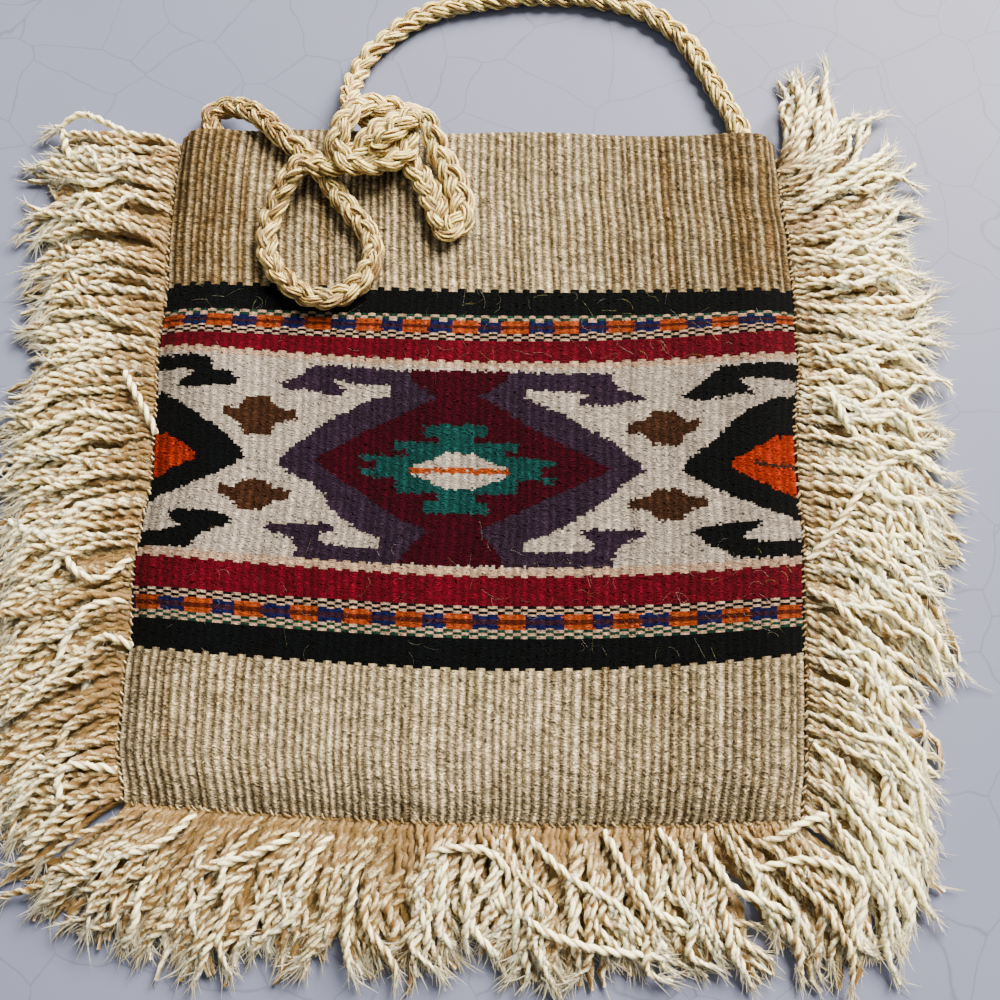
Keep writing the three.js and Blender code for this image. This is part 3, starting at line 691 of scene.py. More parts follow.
# A yarn deeper in the pile is thicker and darker, and its darker tone is painted shade
LEVEL_TAPER = dict(deep=1.4, by_level=-0.45)
LEVEL_TONE = dict(deep=0.1, by_level=0.72)
THICK_SPREAD = (0.85, 1.1)
TONE_SPREAD = 0.18
BRUSH_FIBRES = 17
BRUSH_RADIUS = 0.3
BRUSH_LENGTHS = (5, 9.5)
BRUSH_ROOTS = (4.5, 7)
BRUSH_SPLAY = 0.15
BRUSH_BEND = 0.3
BRUSH_SCATTER = 0.7
FUZZ_FIBRES = 23
FUZZ_RADIUS = 0.08
FUZZ_LENGTHS = (3, 5.5)
FUZZ_SPLAY = 0.8
# Single yarns that lie across the others, as points from the seam to the tip
STRAYS = dict(
    left=[
        [(-141, 4), (-147, 16), (-153, 25), (-160, 36)],
        [(-147, -52), (-156, -62), (-168, -59), (-178, -47), (-202, -37)],
        [(-147, -70), (-160, -74), (-166, -82), (-171, -93), (-173, -110)],
        [(-142, -90), (-148, -87), (-154, -87), (-159, -92), (-160, -111)],
        [(-143, -141), (-160, -139), (-165, -145), (-164, -157), (-177, -171)],
    ],
    right=[
        [(146, -47), (159, -30), (172, -11), (186, -1), (208, 8)],
        [(146, 26), (157, 26), (164, 13), (181, -2)],
        [(144, -124), (154, -131), (157, -143), (169, -149), (184, -150)],
        [(145, -60), (153, -64), (163, -74), (174, -84), (182, -101)],
    ],
    bottom=[
        [(-109, -157), (-118, -167), (-132, -173), (-152, -176), (-166, -189)],
        [(-64, -163), (-78, -170), (-89, -174), (-105, -180), (-113, -190)],
        [(-52, -164), (-59, -173), (-63, -185), (-66, -196), (-81, -206)],
        [(-116, -171), (-126, -186), (-128, -200), (-133, -208)],
        [(-16, -177), (-9, -169), (3, -167), (13, -169), (20, -176), (20, -187), (16, -201)],
        [(-5, -162), (-6, -177), (-6, -187), (-7, -199), (-1, -205)],
        [(16, -162), (14, -178), (8, -187), (6, -197), (16, -208)],
        [(28, -163), (39, -173), (51, -181), (62, -186), (72, -195), (83, -203)],
        [(58, -160), (62, -166), (68, -176), (77, -188), (87, -193), (95, -195)],
        [(80, -159), (87, -166), (89, -174), (87, -183)],
        [(98, -160), (102, -171), (110, -180), (123, -185), (135, -191), (143, -203)],
        [(19, -183), (30, -195), (41, -200), (52, -203), (64, -205), (84, -207)],
        [(110, -165), (118, -172), (136, -168), (152, -171), (161, -178), (158, -194), (156, -206)],
        [(120, -164), (130, -159), (138, -154), (157, -149)],
    ],
)
STRAY_RISE = dict(at=(0, 0.2, 0.6, 1), height=(5, 10, 10, 4))
STRAY_TONES = (0.75, 1)
STRAY_THICK = 1.05
# How each kind of line is swept: a yarn in view, a yarn deep in the pile, a loose fibre and a stitch
YARN = dict(sides=6, plies=2, depth=0.38, turn=YARN_TURN, step=2.0)
DEEP_YARN = dict(sides=5, plies=2, depth=0.2, turn=YARN_TURN * 3, step=5.5)
FIBRE = dict(sides=3, plies=1, depth=0.0, turn=1000, step=4.5)
STITCH = dict(sides=5, plies=1, depth=0.0, turn=1000, step=1.5)
STITCH_RADIUS = 0.42
STITCH_REACHES = (0.5, 1.1)
SLANT_SPREAD = 0.5
STITCH_WAVER = 0.15
STITCH_THICKS = (0.7, 1.2)
STITCH_TONES = (0.0, 0.6)
STITCH_PITCH = 3.2
STITCH_SCATTER = 0.6
# A stitch's course: how far out from the seam, how far along it, and the height
STITCH_COURSE = [(-1.9, 0, 5.1), (-1.0, 0.5, 5.6), (-0.1, 1.1, 5.0), (0.8, 1.6, 3.2), (1.0, 1.8, 2.0)]


def spun_wool(name, light, deep, plies):
    """Spun wool: soft plies with painted shade in the groove between them, and fibres along each ply."""
    material, tree, shader = new_material(name, {
        "Roughness": 0.6,
        "Specular IOR Level": 0.4,
        "Sheen Weight": 0.05,
        "Sheen Roughness": 0.5,
        "Subsurface Weight": 0.8,
        "Subsurface Radius": (1.0, 0.8, 0.5),
        "Subsurface Scale": 2.5 * MM,
    })
    ring = add(tree, "ShaderNodeAttribute", attribute_name="ring").outputs["Vector"]
    along = add(tree, "ShaderNodeAttribute", attribute_name="along").outputs["Fac"]
    yarn = add(tree, "ShaderNodeAttribute", attribute_name="yarn").outputs["Fac"]
    # The angle round the yarn, counted in plies, and how near a point is to its ply's crown
    side = add(tree, "ShaderNodeSeparateXYZ", [(0, ring)]).outputs
    ply = maths(tree, "MULTIPLY", maths(tree, "ARCTAN2", side["Y"], side["X"]), plies)
    crown = maths(tree, "COSINE", ply)
    nearest = maths(tree, "ROUND", maths(tree, "DIVIDE", ply, 2 * math.pi))
    number = maths(tree, "FLOORED_MODULO", nearest, plies)
    own = add(tree, "ShaderNodeTexWhiteNoise", [("W", number)], noise_dimensions="1D").outputs["Value"]
    # Fibres along the ply, drawn thicker than real ones so that they show
    place = add(tree, "ShaderNodeCombineXYZ", [(0, side["X"]), (1, side["Y"]), (2, along)]).outputs[0]
    grain = add(tree, "ShaderNodeMapping", [("Vector", place), ("Scale", (2.6, 2.6, 160.0))]).outputs[0]
    shift = maths(tree, "MULTIPLY", yarn, 90.0)
    fibre = add(tree, "ShaderNodeTexNoise",
                [("Vector", grain), ("W", shift), ("Scale", 1.0), ("Detail", 3.0)],
                noise_dimensions="4D").outputs["Fac"]
    # The share of light wool grows with the yarn's tone and from fibre to fibre, with painted shade in the
    # ply grooves and a painted highlight on the crowns
    depth = ranged(tree, crown, -1.0, 0.6, -0.55, 0.2)
    blend = maths(tree, "MULTIPLY_ADD", fibre, 1.6, -0.8)
    mixed = maths(tree, "MULTIPLY_ADD", own, 0.3, blend)
    share = maths(tree, "ADD", depth, maths(tree, "ADD", yarn, mixed), clamp=True)
    mellow = maths(tree, "POWER", share, 2.0)
    colour = add(tree, "ShaderNodeMix",
                 [("Factor", mellow), ("A", (*linear(deep), 1)), ("B", (*linear(light), 1))],
                 data_type="RGBA")
    tree.links.new(colour.outputs["Result"], shader.inputs["Base Color"])
    bump = add(tree, "ShaderNodeBump", [("Height", fibre), ("Strength", 1.0), ("Distance", 0.35 * MM)])
    tree.links.new(bump.outputs[0], shader.inputs["Normal"])
    return material


def plied_yarn_tree():
    """Geometry nodes that sweep a plied, twisted section along every line of points."""
    tree = bpy.data.node_groups.new("plied_yarn", "GeometryNodeTree")
    face = tree.interface
    face.new_socket("Geometry", in_out="INPUT", socket_type="NodeSocketGeometry")
    for name, kind in (("Sides", "Int"), ("Plies", "Int"), ("Ply Depth", "Float"), ("Turn", "Float"),
                       ("Step", "Float"), ("Wool", "Material")):
        face.new_socket(name, in_out="INPUT", socket_type="NodeSocket" + kind)
    face.new_socket("Geometry", in_out="OUTPUT", socket_type="NodeSocketGeometry")
    given = add(tree, "NodeGroupInput").outputs
    line = add(tree, "GeometryNodeMeshToCurve", [("Mesh", given["Geometry"])])
    smooth = add(tree, "GeometryNodeCurveSplineType", [("Curve", line.outputs[0])], spline_type="CATMULL_ROM")
    even = add(tree, "GeometryNodeResampleCurve", [("Curve", smooth.outputs[0]), ("Length", given["Step"])],
               mode="LENGTH")
    run = add(tree, "GeometryNodeSplineParameter").outputs
    marked = add(tree, "GeometryNodeStoreNamedAttribute",
                 [("Geometry", even.outputs[0]), ("Name", "along"), ("Value", run["Length"])])
    turns = maths(tree, "DIVIDE", run["Length"], given["Turn"])
    angle = maths(tree, "MULTIPLY", turns, 2 * math.pi)
    twisted = add(tree, "GeometryNodeSetCurveTilt", [("Curve", marked.outputs[0]), ("Tilt", angle)])
    ring = add(tree, "GeometryNodeCurvePrimitiveCircle", [("Resolution", given["Sides"]), ("Radius", 1.0)])
    round_share = add(tree, "GeometryNodeSplineParameter").outputs["Factor"]
    lobes = maths(tree, "MULTIPLY", round_share, given["Plies"])
    lobe = maths(tree, "COSINE", maths(tree, "MULTIPLY", lobes, 2 * math.pi))
    dip = maths(tree, "MULTIPLY_ADD", lobe, 0.5, -0.5)
    size = maths(tree, "MULTIPLY_ADD", dip, given["Ply Depth"], 1.0)
    spot = add(tree, "GeometryNodeInputPosition").outputs[0]
    pressed = scaled(tree, spot, size)
    section = add(tree, "GeometryNodeSetPosition", [("Geometry", ring.outputs[0]), ("Position", pressed)])
    counted = add(tree, "GeometryNodeStoreNamedAttribute",
                  [("Geometry", section.outputs[0]), ("Name", "ring"), ("Value", spot)],
                  data_type="FLOAT_VECTOR")
    thick = add(tree, "GeometryNodeInputNamedAttribute", [("Name", "thick")], data_type="FLOAT")
    swept = add(tree, "GeometryNodeCurveToMesh",
                [("Curve", twisted.outputs[0]), ("Profile Curve", counted.outputs[0]),
                 ("Scale", thick.outputs["Attribute"]), ("Fill Caps", True)])
    soft = add(tree, "GeometryNodeSetShadeSmooth", [("Geometry", swept.outputs[0])])
    real = add(tree, "GeometryNodeRealizeInstances", [("Geometry", soft.outputs[0])])
    dressed = add(tree, "GeometryNodeSetMaterial",
                  [("Geometry", real.outputs[0]), ("Material", given["Wool"])])
    add(tree, "NodeGroupOutput", [("Geometry", dressed.outputs[0])])
    return tree


PLIED_YARN = plied_yarn_tree()


def swept_mesh(name, lines, kind, wool):
    """Sweeps lines, each a dict of points, thickness along it and a tone, into one plain mesh."""
    points = np.concatenate([line["points"] for line in lines]) * MM
    lengths = [len(line["points"]) for line in lines]
    thick = np.concatenate([np.broadcast_to(line["thick"], n) for line, n in zip(lines, lengths)]) * MM
    tone = np.concatenate([np.broadcast_to(line["tone"], n) for line, n in zip(lines, lengths)])
    starts = np.cumsum([0] + lengths)
    edges = [(i, i + 1) for a, b in zip(starts, starts[1:]) for i in range(a, b - 1)]
    mesh = bpy.data.meshes.new(name + "_lines")
    mesh.from_pydata(points, edges, [])
    mesh.attributes.new("thick", "FLOAT", "POINT").data.foreach_set("value", thick)
    mesh.attributes.new("yarn", "FLOAT", "POINT").data.foreach_set("value", tone)
    holder = placed(name + "_lines", mesh)
    sweep = holder.modifiers.new("plied_yarn", "NODES")
    sweep.node_group = PLIED_YARN
    inputs = [item for item in PLIED_YARN.interface.items_tree if item.in_out == "INPUT"]
    sockets = {item.name: item.identifier for item in inputs}
    for label, value in (("Sides", kind["sides"]), ("Plies", kind["plies"]), ("Ply Depth", kind["depth"]),
                         ("Turn", kind["turn"] * MM), ("Step", kind["step"] * MM), ("Wool", wool)):
        sweep[sockets[label]] = value
    graph = bpy.context.evaluated_depsgraph_get()
    plain = bpy.data.meshes.new_from_object(holder.evaluated_get(graph), preserve_all_data_layers=True,
                                            depsgraph=graph)
    bpy.data.objects.remove(holder)
    return plain


def yarn_piece(name, wool, *groups):
    """One piece of plain mesh from groups of lines, each given with the way it is swept."""
    joined = bmesh.new()
    for lines, kind in groups:
        joined.from_mesh(swept_mesh(name, lines, kind, wool))
    mesh = bpy.data.meshes.new(name)
    joined.to_mesh(mesh)
    joined.free()
    mesh.materials.append(wool)
    return placed(name, mesh)


def bezier(points, t):
    """Points on the curve that four points steer, at each share t of the way."""
    a, b, c, d = points
    t = t[:, None]
    s = 1 - t
    return s ** 3 * a + 3 * s * s * t * b + 3 * s * t * t * c + t ** 3 * d


def unit(vector):
    return vector / np.linalg.norm(vector)


def loose_fibres(line, rng):
    """The brush at a yarn's cut end, and the fuzz along it."""
    points = line["points"]
    tone = float(np.mean(line["tone"]))
    ahead = unit(points[-1] - points[-2])
    fibres = []
    for _ in range(BRUSH_FIBRES):
        way = unit(ahead + rng.normal(0, BRUSH_SPLAY, 3) * (1, 1, 0.4))
        bend = rng.normal(0, BRUSH_BEND, 3) * (1, 1, 0.3)
        length = rng.uniform(*BRUSH_LENGTHS)
        start = points[-1] - ahead * rng.uniform(*BRUSH_ROOTS) + rng.normal(0, BRUSH_SCATTER, 3) * (1, 1, 0.5)
        spray = np.array([start + (way * t + bend * t * t) * length for t in (0, 0.5, 1)])
        spray[:, 2] = np.maximum(spray[:, 2], BRUSH_RADIUS)
        thick = BRUSH_RADIUS * np.array([0.8, 1, 0.3])
        fibres.append(dict(points=spray, thick=thick, tone=0.75 + 0.25 * tone))
    for _ in range(FUZZ_FIBRES):
        at = rng.uniform(0.5, len(points) - 1.5)
        low = int(at)
        base = points[low] + (points[low + 1] - points[low]) * (at - low)
        way = unit(unit(points[low + 1] - points[low]) + rng.normal(0, FUZZ_SPLAY, 3))
        tip = base + way * rng.uniform(*FUZZ_LENGTHS)
        tip[2] = max(tip[2], FUZZ_RADIUS)
        thick = FUZZ_RADIUS * np.array([1, 0.5])
        fibres.append(dict(points=np.array([base, tip]), thick=thick, tone=0.6 + 0.4 * tone))
    return fibres


def fringe_ways(fringe):
    """The way out from a fringe's seam, and the way along it."""
    outward = np.array(fringe["outward"], dtype=float)
    return outward, np.abs(outward[::-1])


def fringe_yarn(fringe, lock, place, spread, level, shade, rng):
    """One yarn: it leaves its seam squarely and then follows a lock of its own."""
    outward, along = fringe_ways(fringe)
    t = np.linspace(0, 1, YARN_POINTS)
    start = seam_point(fringe["side"], place)
    tip = np.array([lock["x"], lock["y"]]) + (place - lock["root"]) * spread * along
    tip = tip + rng.normal(0, TIP_SCATTER, 2)
    tip = tip + along * rng.normal(0, TIP_DRIFT["least"] + TIP_DRIFT["by_level"] * level)
    tip = start + (tip - start) * rng.uniform(*YARN_LENGTHS)
    line = tip - start
    length = np.linalg.norm(line)
    left = np.array([-line[1], line[0]]) / length
    drift = rng.normal(0, BOW_DRIFT["least"] + BOW_DRIFT["by_tousle"] * fringe["tousle"])
    middle = (start + tip) / 2 + left * (2 * lock["bow"] + drift)
    first = start + (middle - start) * ROOT_PULL + outward * length * SQUARE_OUT
    last = tip + (middle - tip) * TIP_PULL
    flat = bezier((start, first, last, tip), t)
    # A slow sway down the yarn's whole length, and the short crimp that is left from the plying
    sway = rng.normal(0, SWAY["least"] + SWAY["by_tousle"] * fringe["tousle"])
    sway = sway * np.sin(2 * np.pi * (t * rng.uniform(*SWAY_WAVES) + rng.uniform()))
    crimp = rng.uniform(*CRIMPS) * np.sin(2 * np.pi * (t * length / CRIMP_LENGTH + rng.uniform()))
    flat = flat + left * ((sway + crimp) * ease(t * 2))[:, None]
    rise = YARN_RADIUS + level * PILE_HEIGHT * np.interp(t, PILE_RISE["at"], PILE_RISE["share"])
    rise = rise + rng.normal(0, RISE_WAVER) * np.sin(t * 9 + place)
    thick = YARN_RADIUS * (LEVEL_TAPER["deep"] + LEVEL_TAPER["by_level"] * level) * rng.uniform(*THICK_SPREAD)
    thick = thick * np.interp(t, YARN_TAPER["at"], YARN_TAPER["share"])
    points = np.column_stack([flat, np.maximum(rise, thick)])
    # The tone: painted shade by depth in the pile and by the fringe's shade, a random spread, and painted
    # shade at the root
    tone = LEVEL_TONE["deep"] - shade + LEVEL_TONE["by_level"] * level + rng.normal(0, TONE_SPREAD)
    return dict(points=points, thick=thick, tone=tone + np.interp(t, YARN_TONE["at"], YARN_TONE["more"]))


def seam_point(side, place):
    """A point on a side seam by its height, or on the bottom seam by its place across."""
    if side == "bottom":
        return np.array([place, weft_line(place, np.array(float(BOTTOM_Y)))])
    return np.array([seam(side, place), place])


def edge_stitch(fringe, place, rng):
    """One slanted whip stitch, from the front's face over its edge to the fringe's heading."""
    outward, along = fringe_ways(fringe)
    points = []
    reach = rng.uniform(*STITCH_REACHES)
    slant = rng.normal(1, SLANT_SPREAD)
    for out, on, rise in STITCH_COURSE:
        flat = seam_point(fringe["side"], np.array(place + on * slant)) + outward * out * reach
        points.append((*(flat + along * rng.normal(0, STITCH_WAVER)), rise))
    thick = STITCH_RADIUS * rng.uniform(*STITCH_THICKS)
    return dict(points=np.array(points), thick=thick, tone=rng.uniform(*STITCH_TONES))


def stray_yarn(points):
    """A single yarn on top of its fringe."""
    flat = np.array(points, dtype=float)
    t = np.linspace(0, 1, len(flat))
    rise = np.interp(t, STRAY_RISE["at"], STRAY_RISE["height"])
    tone = np.interp(t, (0, 1), STRAY_TONES)
    return dict(points=np.column_stack([flat, rise]), thick=YARN_RADIUS * STRAY_THICK, tone=tone)


FRINGE_WOOL = spun_wool("two_ply_fringe_wool", "#fcf1c4", "#64491a", 2)
# A fringe's shade, from its start to its end, is painted light and shade: it darkens the left fringe and the
# bottom's left end and lightens the right fringe
FRINGES = [
    dict(side="left", locks=LEFT_LOCKS, start=147, end=-152, outward=(-1, 0), tousle=0.85, spread=0.6,
         shade=(0.04, 0.15), seed=21),
    dict(side="right", locks=RIGHT_LOCKS, start=142, end=-153, outward=(1, 0), tousle=0.9, spread=0.4,
         shade=(-0.15, -0.24), seed=22),
    dict(side="bottom", locks=BOTTOM_LOCKS, start=-136, end=135, outward=(0, -1), tousle=0.85, spread=0.45,
         shade=(0.34, 0.06), seed=23),
]
TOP_YARNS = 175
DEEP_YARNS = 250
TOP_LEVELS = (0.2, 1.0)
DEEP_LEVELS = (0.0, 0.2)
DEEP_SPREAD = 0.9
DEEP_BRUSH = 3
for row in FRINGES:
    rng = np.random.default_rng(row["seed"])
    side = row["side"]
    locks = [dict(zip(LOCK_COLUMNS, lock)) for lock in row["locks"]]
    lock_roots = np.array([lock["root"] for lock in locks])
    piles = {}
    for pile, count, spread, levels in (
        ("deep", DEEP_YARNS, DEEP_SPREAD, DEEP_LEVELS),
        ("yarns", TOP_YARNS, row["spread"], TOP_LEVELS),
    ):
        piles[pile] = []
        roots = np.linspace(row["start"], row["end"], count)
        for root, shade in zip(roots, np.linspace(*row["shade"], count)):
            place = np.array(root + rng.normal(0, ROOT_SCATTER))
            lock = locks[np.argmin(np.abs(lock_roots - place - rng.normal(0, LOCK_SCATTER)))]
            level = rng.uniform(*levels)
            piles[pile].append(fringe_yarn(row, lock, place, spread, level, shade, rng))
    piles["yarns"] += [stray_yarn(points) for points in STRAYS[side]]
    fibres = [fibre for yarn in piles["yarns"] for fibre in loose_fibres(yarn, rng)]
    fibres += [fibre for yarn in piles["deep"] for fibre in loose_fibres(yarn, rng)[:DEEP_BRUSH]]
    low, high = sorted((row["start"], row["end"]))
    stitches = [edge_stitch(row, root + rng.normal(0, STITCH_SCATTER), rng)
                for root in np.arange(low, high, STITCH_PITCH)]
    fringe = yarn_piece(
        side + "_fringe_yarns", FRINGE_WOOL,
        (piles["yarns"], YARN), (piles["deep"], DEEP_YARN), (fibres, FIBRE), (stitches, STITCH),
    )
    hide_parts("fringe_" + side)
    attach(fringe, "root")

# Loose hairs
# Fine ends of undyed wool that have worked out of the yarns and cling to the front.
# They show most over the dark bands, where they lie in small curls.
HAIRS = 260
HAIR_RADIUS = 0.028
HAIR_STEPS = (0.8, 2.0)
HAIR_CURL = 0.3
HAIR_POINTS = 6
HAIR_REACH = 132
HAIR_PLACES = (2, 14)
HAIR_LIFTS = (0.2, 0.7)
HAIR_SEED = 41
HAIR = dict(sides=3, plies=1, depth=0.0, turn=1000, step=1.8)
rng = np.random.default_rng(HAIR_SEED)
hairs = []
for _ in range(HAIRS):
    band = STRIPES[rng.integers(1, len(STRIPES))]
    spot = np.array([rng.uniform(-HAIR_REACH, HAIR_REACH), band["end"] + rng.uniform(*HAIR_PLACES)])
    heading = rng.uniform(0, 2 * np.pi) + rng.normal(0, HAIR_CURL) * np.arange(HAIR_POINTS)
    steps = rng.uniform(*HAIR_STEPS) * np.column_stack([np.cos(heading), np.sin(heading)])
    flat = spot + np.cumsum(steps, axis=0)
    rise = 2 * CLOTH + GAP + pocket_height(flat[:, 0], flat[:, 1]) + rng.uniform(*HAIR_LIFTS)
    hairs.append(dict(points=np.column_stack([flat, rise]), thick=HAIR_RADIUS, tone=rng.uniform(0, 0.6)))
front_hairs = yarn_piece("front_hairs", FRINGE_WOOL, (hairs, HAIR))
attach(front_hairs, "root")

# Strap
# One long flat braid of three strands, each a bundle of undyed wool yarns, sewn inside the mouth's corners.
# It is knotted on itself near the left corner, with one open loop and one pinched loop drawn out.
STRANDS = 3
STRAND_RADIUS = 1.75
STRAND_SWING = 2.75
STRAND_LIFT = 1.3
STRAND_YARNS = 8
STRAND_TURN = 90
STRAP_YARN_RADIUS = 0.9
CORE_RADIUS = 1.7
BRAID_PERIOD = 27
BRAID_DRIFT = 0.5
BRAID_DRIFT_LENGTH = 23
STRAP_STEP = 2.0
STRAP_TONES = (0.35, 0.9)
CROWN_TONE = 0.12
STRAP_FUZZ = 1500
STRAP_FUZZ_LENGTHS = (1.5, 4)
STRAP_FUZZ_REACH = 7.6
STRAP_SEED = 31
# How a yarn wanders in waves: round its strand, in and out of it, in tone and in thickness
WANDERS = [
    dict(reach=0.35, length=9),
    dict(reach=0.14, length=7),
    dict(reach=0.2, length=31),
    dict(reach=0.1, length=13),
]
# The braid is pressed wider in the pinched loop and in the knot
SPREADS = [
    dict(x=-15.5, y=117, reach=18, share=0.32),
    dict(x=-47, y=146, reach=16, share=0.16),
]
# The stretch that comes out of the mouth at the left, and the open loop after it, are drawn darker: painted
# shade
SHADED_STRETCHES = dict(at=(0, 50, 90, 130, 240, 280), share=(0.4, 0.4, 0.15, 0.25, 0.25, 0))
# The middle of the strap from inside the mouth's left corner to inside its right corner
STRAP_ROUTE = [
    (-125.5, 143, 6.4), (-127, 152, 6.4), (-130.5, 160, 6.3), (-127.6, 165, 6.8), (-119, 165.6, 8.8),
    (-109, 160.5, 13.8), (-99, 152, 16.6), (-91.5, 145, 16.2), (-84, 139.5, 15.9), (-77.5, 133.5, 15.9),
    (-72, 127, 15.9), (-66, 118.5, 15.9), (-59.5, 109.8, 15.9), (-52, 101, 15.9), (-47.4, 91.5, 15.9),
    (-47.8, 82.5, 15.9), (-51.8, 73.8, 15.9), (-59.3, 67.2, 15.9), (-68.3, 65, 15.9), (-77.3, 67.2, 15.9),
    (-86, 73.9, 15.9), (-92.8, 82.9, 15.9), (-95.8, 93, 15.9), (-94.8, 103, 16), (-91.4, 112.4, 18),
    (-87, 120.5, 21.4), (-82, 126, 23.6), (-75.5, 127.4, 22.8), (-69, 127.5, 21),
    (-61.5, 131, 20.4), (-54, 136, 22.8), (-48, 141.6, 25), (-42.5, 147, 24.4),
    (-35, 151, 21.2), (-31.8, 156, 18.4), (-40.5, 159.2, 18.8), (-53.5, 158, 23),
    (-59, 151.6, 26.4), (-63, 142.6, 27.4), (-64.6, 134.4, 25.6), (-60.4, 129.2, 23.4),
    (-53, 128.2, 22.4), (-45.5, 129, 22.4), (-38.6, 131.6, 22.4), (-33.4, 136.6, 21),
    (-32.8, 143.8, 20), (-38.6, 146.8, 19.6), (-45, 142.4, 20.8), (-46, 136, 24.6),
    (-42, 138.8, 27.4), (-35.6, 146, 28), (-29, 152.2, 26), (-24, 149, 23.2),
    (-20.6, 141, 20.4), (-15.8, 131.6, 17.4), (-10.8, 122, 16), (-7.6, 113.2, 15.9),
    (-7.6, 104.6, 15.9), (-12.2, 98.8, 15.9), (-17, 102.8, 15.9), (-19.6, 111.2, 15.9),
    (-24, 121, 15.9), (-30.2, 130.4, 15.9), (-37, 137.4, 15.9),
    (-42.6, 146, 15.9), (-48.6, 153, 15.9), (-55, 157, 15.9), (-60.4, 160, 15.9),
    (-62, 164.6, 15), (-62.6, 170, 12.2), (-63, 177.4, 8), (-61.4, 188, 4.6),
    (-55.6, 199.4, 3.8), (-47, 208.8, 3.6), (-38.4, 216.4, 3.6), (-28, 222.6, 3.6), (-14, 227.4, 3.6),
    (4, 231, 3.6), (24, 233.4, 3.6), (44, 233, 3.6), (62, 230, 3.6), (76.5, 225.4, 3.6),
    (88, 218, 3.6), (97.6, 208.6, 3.6), (105, 196.4, 3.6), (112, 182, 3.7), (118.6, 168, 4.6),
    (122.8, 157.6, 6), (123.6, 149, 6.4), (122.4, 140, 6.4),
]


def smooth_route(route, step):
    """A smooth line through the route's points, with points a step apart."""
    points = np.array(route, dtype=float)
    padded = np.vstack([2 * points[0] - points[1], points, 2 * points[-1] - points[-2]])
    t = np.linspace(0, 1, 12, endpoint=False)[:, None]
    bits = []
    for a, b, c, d in zip(padded, padded[1:], padded[2:], padded[3:]):
        bits.append(0.5 * (2 * b + (c - a) * t + (2 * a - 5 * b + 4 * c - d) * t ** 2
                           + (3 * b - a - 3 * c + d) * t ** 3))
    dense = np.vstack(bits + [points[-1:]])
    run = np.concatenate([[0], np.cumsum(np.linalg.norm(np.diff(dense, axis=0), axis=1))])
    even = np.linspace(0, run[-1], int(round(run[-1] / step)) + 1)
    return np.column_stack([np.interp(even, run, dense[:, k]) for k in range(3)]), even


def directions(line):
    """Unit vectors across a line and away from the surface, at each of its points."""
    ahead = np.gradient(line, axis=0)
    ahead = ahead / np.linalg.norm(ahead, axis=1)[:, None]
    across = np.cross((0, 0, 1), ahead)
    across = across / np.linalg.norm(across, axis=1)[:, None]
    return across, np.cross(ahead, across)


centre, run = smooth_route(STRAP_ROUTE, STRAP_STEP)
across, above = directions(centre)
wide = 1
for row in SPREADS:
    away = np.linalg.norm(centre[:, :2] - (row["x"], row["y"]), axis=1)
    wide = wide + row["share"] * np.exp(-(away / row["reach"]) ** 2)
strap_shade = np.interp(run, SHADED_STRETCHES["at"], SHADED_STRETCHES["share"])
rng = np.random.default_rng(STRAP_SEED)
cores = []
strap_yarns = []
for k in range(STRANDS):
    # The braid was pulled tight unevenly, so its period drifts
    phase = 2 * np.pi * (run / BRAID_PERIOD + k / STRANDS) + BRAID_DRIFT * np.sin(run / BRAID_DRIFT_LENGTH)
    swing = STRAND_SWING * wide * np.sin(phase)
    lift = STRAND_LIFT * np.sin(2 * phase)
    strand = centre + across * swing[:, None] + above * lift[:, None]
    # The core stands for the yarns inside the strand and takes the deepest tone: painted shade between the
    # yarns
    cores.append(dict(points=strand, thick=CORE_RADIUS, tone=0.0))
    strand_across, strand_above = directions(strand)
    for j in range(STRAND_YARNS):
        starts = rng.uniform(0, 2 * np.pi, len(WANDERS))
        turn, inward, paler, thicker = [row["reach"] * np.sin(run / row["length"] + start)
                                        for row, start in zip(WANDERS, starts)]
        angle = 2 * np.pi * (j / STRAND_YARNS + run / STRAND_TURN) + turn
        radius = STRAND_RADIUS * (1 + inward)
        points = strand + strand_across * (wide * radius * np.cos(angle))[:, None]
        points = points + strand_above * (radius * np.sin(angle))[:, None]
        points[:, 2] = np.maximum(points[:, 2], STRAP_YARN_RADIUS)
        # Each yarn's tone: its own random share and wander, painted light on the strand's high parts and
        # painted shade on its low parts, and painted shade along the shaded stretches
        tone = rng.uniform(*STRAP_TONES) + paler + CROWN_TONE * np.sin(2 * phase) - strap_shade
        thick = STRAP_YARN_RADIUS * (rng.uniform(*THICK_SPREAD) + thicker)
        strap_yarns.append(dict(points=points, thick=thick, tone=tone))
strap_fuzz = []
for _ in range(STRAP_FUZZ):
    yarn = strap_yarns[rng.integers(len(strap_yarns))]["points"]
    at = rng.integers(2, len(centre) - 3)
    way = unit(yarn[at + 1] - yarn[at]) + 0.5 * unit(yarn[at] - centre[at]) + rng.normal(0, 0.4, 3)
    tip = yarn[at] + unit(way) * rng.uniform(*STRAP_FUZZ_LENGTHS)
    tip[2] = max(tip[2], FUZZ_RADIUS)
    if np.min(np.linalg.norm(centre - tip, axis=1)) < STRAP_FUZZ_REACH:
        thick = FUZZ_RADIUS * np.array([1, 0.5])
        strap_fuzz.append(dict(points=np.array([yarn[at], tip]), thick=thick, tone=0.8))
STRAP_WOOL = spun_wool("braided_strap_wool", "#f8d984", "#5f4014", 2)
STRAP_YARN = dict(sides=5, plies=2, depth=0.2, turn=18, step=STRAP_STEP)
CORE = dict(sides=6, plies=1, depth=0.0, turn=1000, step=2.5)
strap = yarn_piece("strap_braid", STRAP_WOOL, (strap_yarns, STRAP_YARN), (cores, CORE), (strap_fuzz, FIBRE))
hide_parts("strap_loop", "strap_knot", "strap_bight", "strap_arch")
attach(strap, "root")

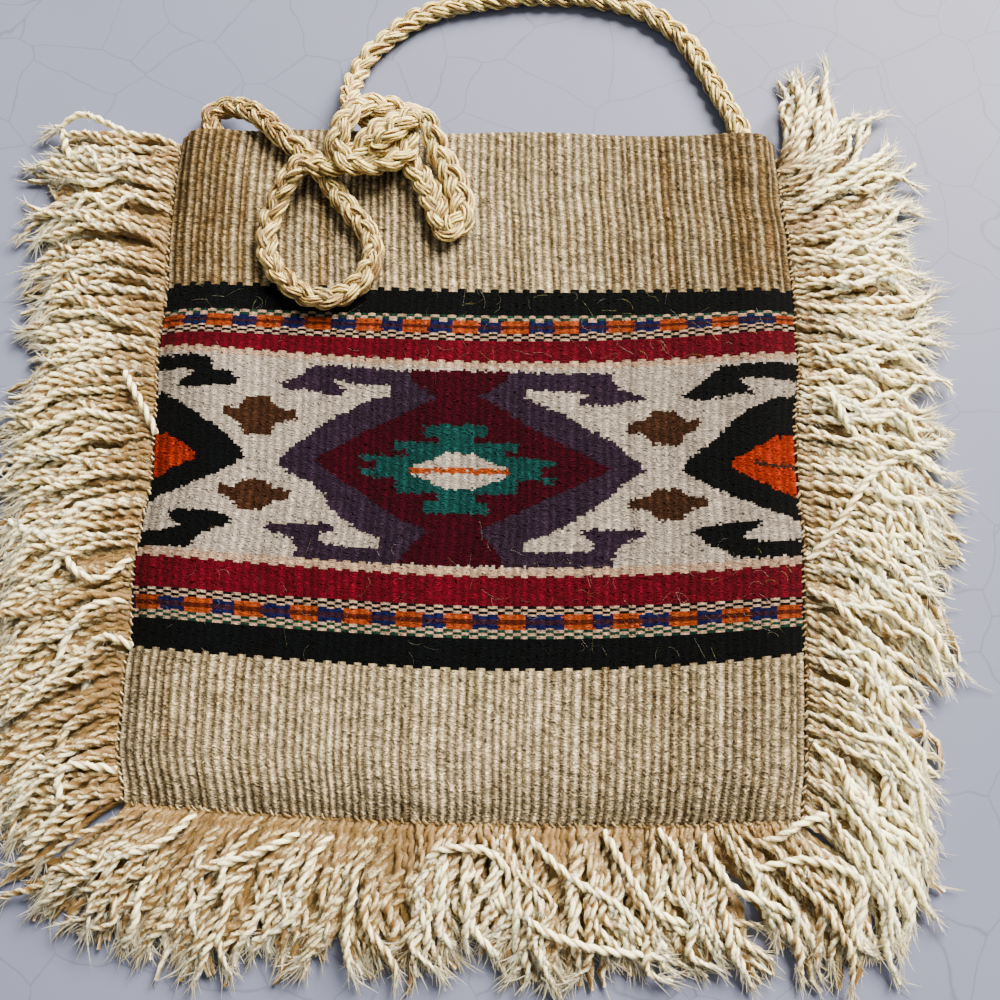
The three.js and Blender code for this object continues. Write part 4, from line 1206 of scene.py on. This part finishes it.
# Surface, light and camera
# A pale painted tabletop, a large window to the right and a weak fill from all round.
# The camera looks down from in front of the bag, tipped a little from straight above.
FLOOR_SIZE = 6.0
CAMERA_PLACE = (0.02194, -0.11920, 0.43097)
CAMERA_TURN = (12.757, 0.891, 1.415)


def painted_surface():
    """Matt pale paint, faintly clouded and crazed."""
    material, tree, shader = new_material("matt_paint", {"Roughness": 0.6, "Specular IOR Level": 0.2})
    spot = add(tree, "ShaderNodeTexCoord").outputs["Object"]
    cloud = add(tree, "ShaderNodeTexNoise", [("Vector", spot), ("Scale", 9.0), ("Detail", 4.0)]).outputs
    colour = add(tree, "ShaderNodeMix",
                 [("Factor", cloud["Fac"]), ("A", (*linear("#5a6078"), 1)), ("B", (*linear("#616781"), 1))],
                 data_type="RGBA")
    # Old paint has crazed in fine lines, some four centimetres apart
    bend = scaled(tree, cloud["Color"], 0.05)
    bent = add(tree, "ShaderNodeVectorMath", [(0, spot), (1, bend)], operation="ADD").outputs[0]
    cells = add(tree, "ShaderNodeTexVoronoi", [("Vector", bent), ("Scale", 25.0)], feature="DISTANCE_TO_EDGE")
    crack = ranged(tree, cells.outputs["Distance"], 0.0, 0.012, 0.72, 1.0)
    tree.links.new(scaled(tree, colour.outputs["Result"], crack), shader.inputs["Base Color"])
    return material


floor_mesh = bpy.data.meshes.new("surface")
half = FLOOR_SIZE / 2
corners = [(-half, -half, 0), (half, -half, 0), (half, half, 0), (-half, half, 0)]
floor_mesh.from_pydata(corners, [], [(0, 1, 2, 3)])
floor_mesh.materials.append(painted_surface())
floor = placed("surface", floor_mesh)


def soft_light(name, place, size, power, colour):
    """A square soft light at a place, aimed at the middle of the bag."""
    data = bpy.data.lights.new(name, "AREA")
    data.size = size
    data.energy = power
    data.color = linear(colour)
    light = placed(name, data)
    light.location = place
    light.rotation_euler = light.location.to_track_quat("Z", "Y").to_euler()


soft_light("window", (1.2, 1.6, 1.5), 1.5, 560, "#fff3e0")
soft_light("fill", (-0.4, -0.3, 1.6), 1.6, 6.5, "#f6efe4")
world = bpy.data.worlds.new("room")
world.use_nodes = True
background = world.node_tree.nodes["Background"].inputs
background["Color"].default_value = (*linear("#d9d5cd"), 1)
background["Strength"].default_value = 0.42
bpy.context.scene.world = world

lens = bpy.data.cameras.new("camera")
lens.sensor_width = 36
lens.lens = 36
lens.clip_start = 0.01
camera = placed("camera", lens)
camera.location = CAMERA_PLACE
camera.rotation_euler = [math.radians(a) for a in CAMERA_TURN]
bpy.context.scene.camera = camera

# Bring the scene up to date
bpy.context.view_layer.update()
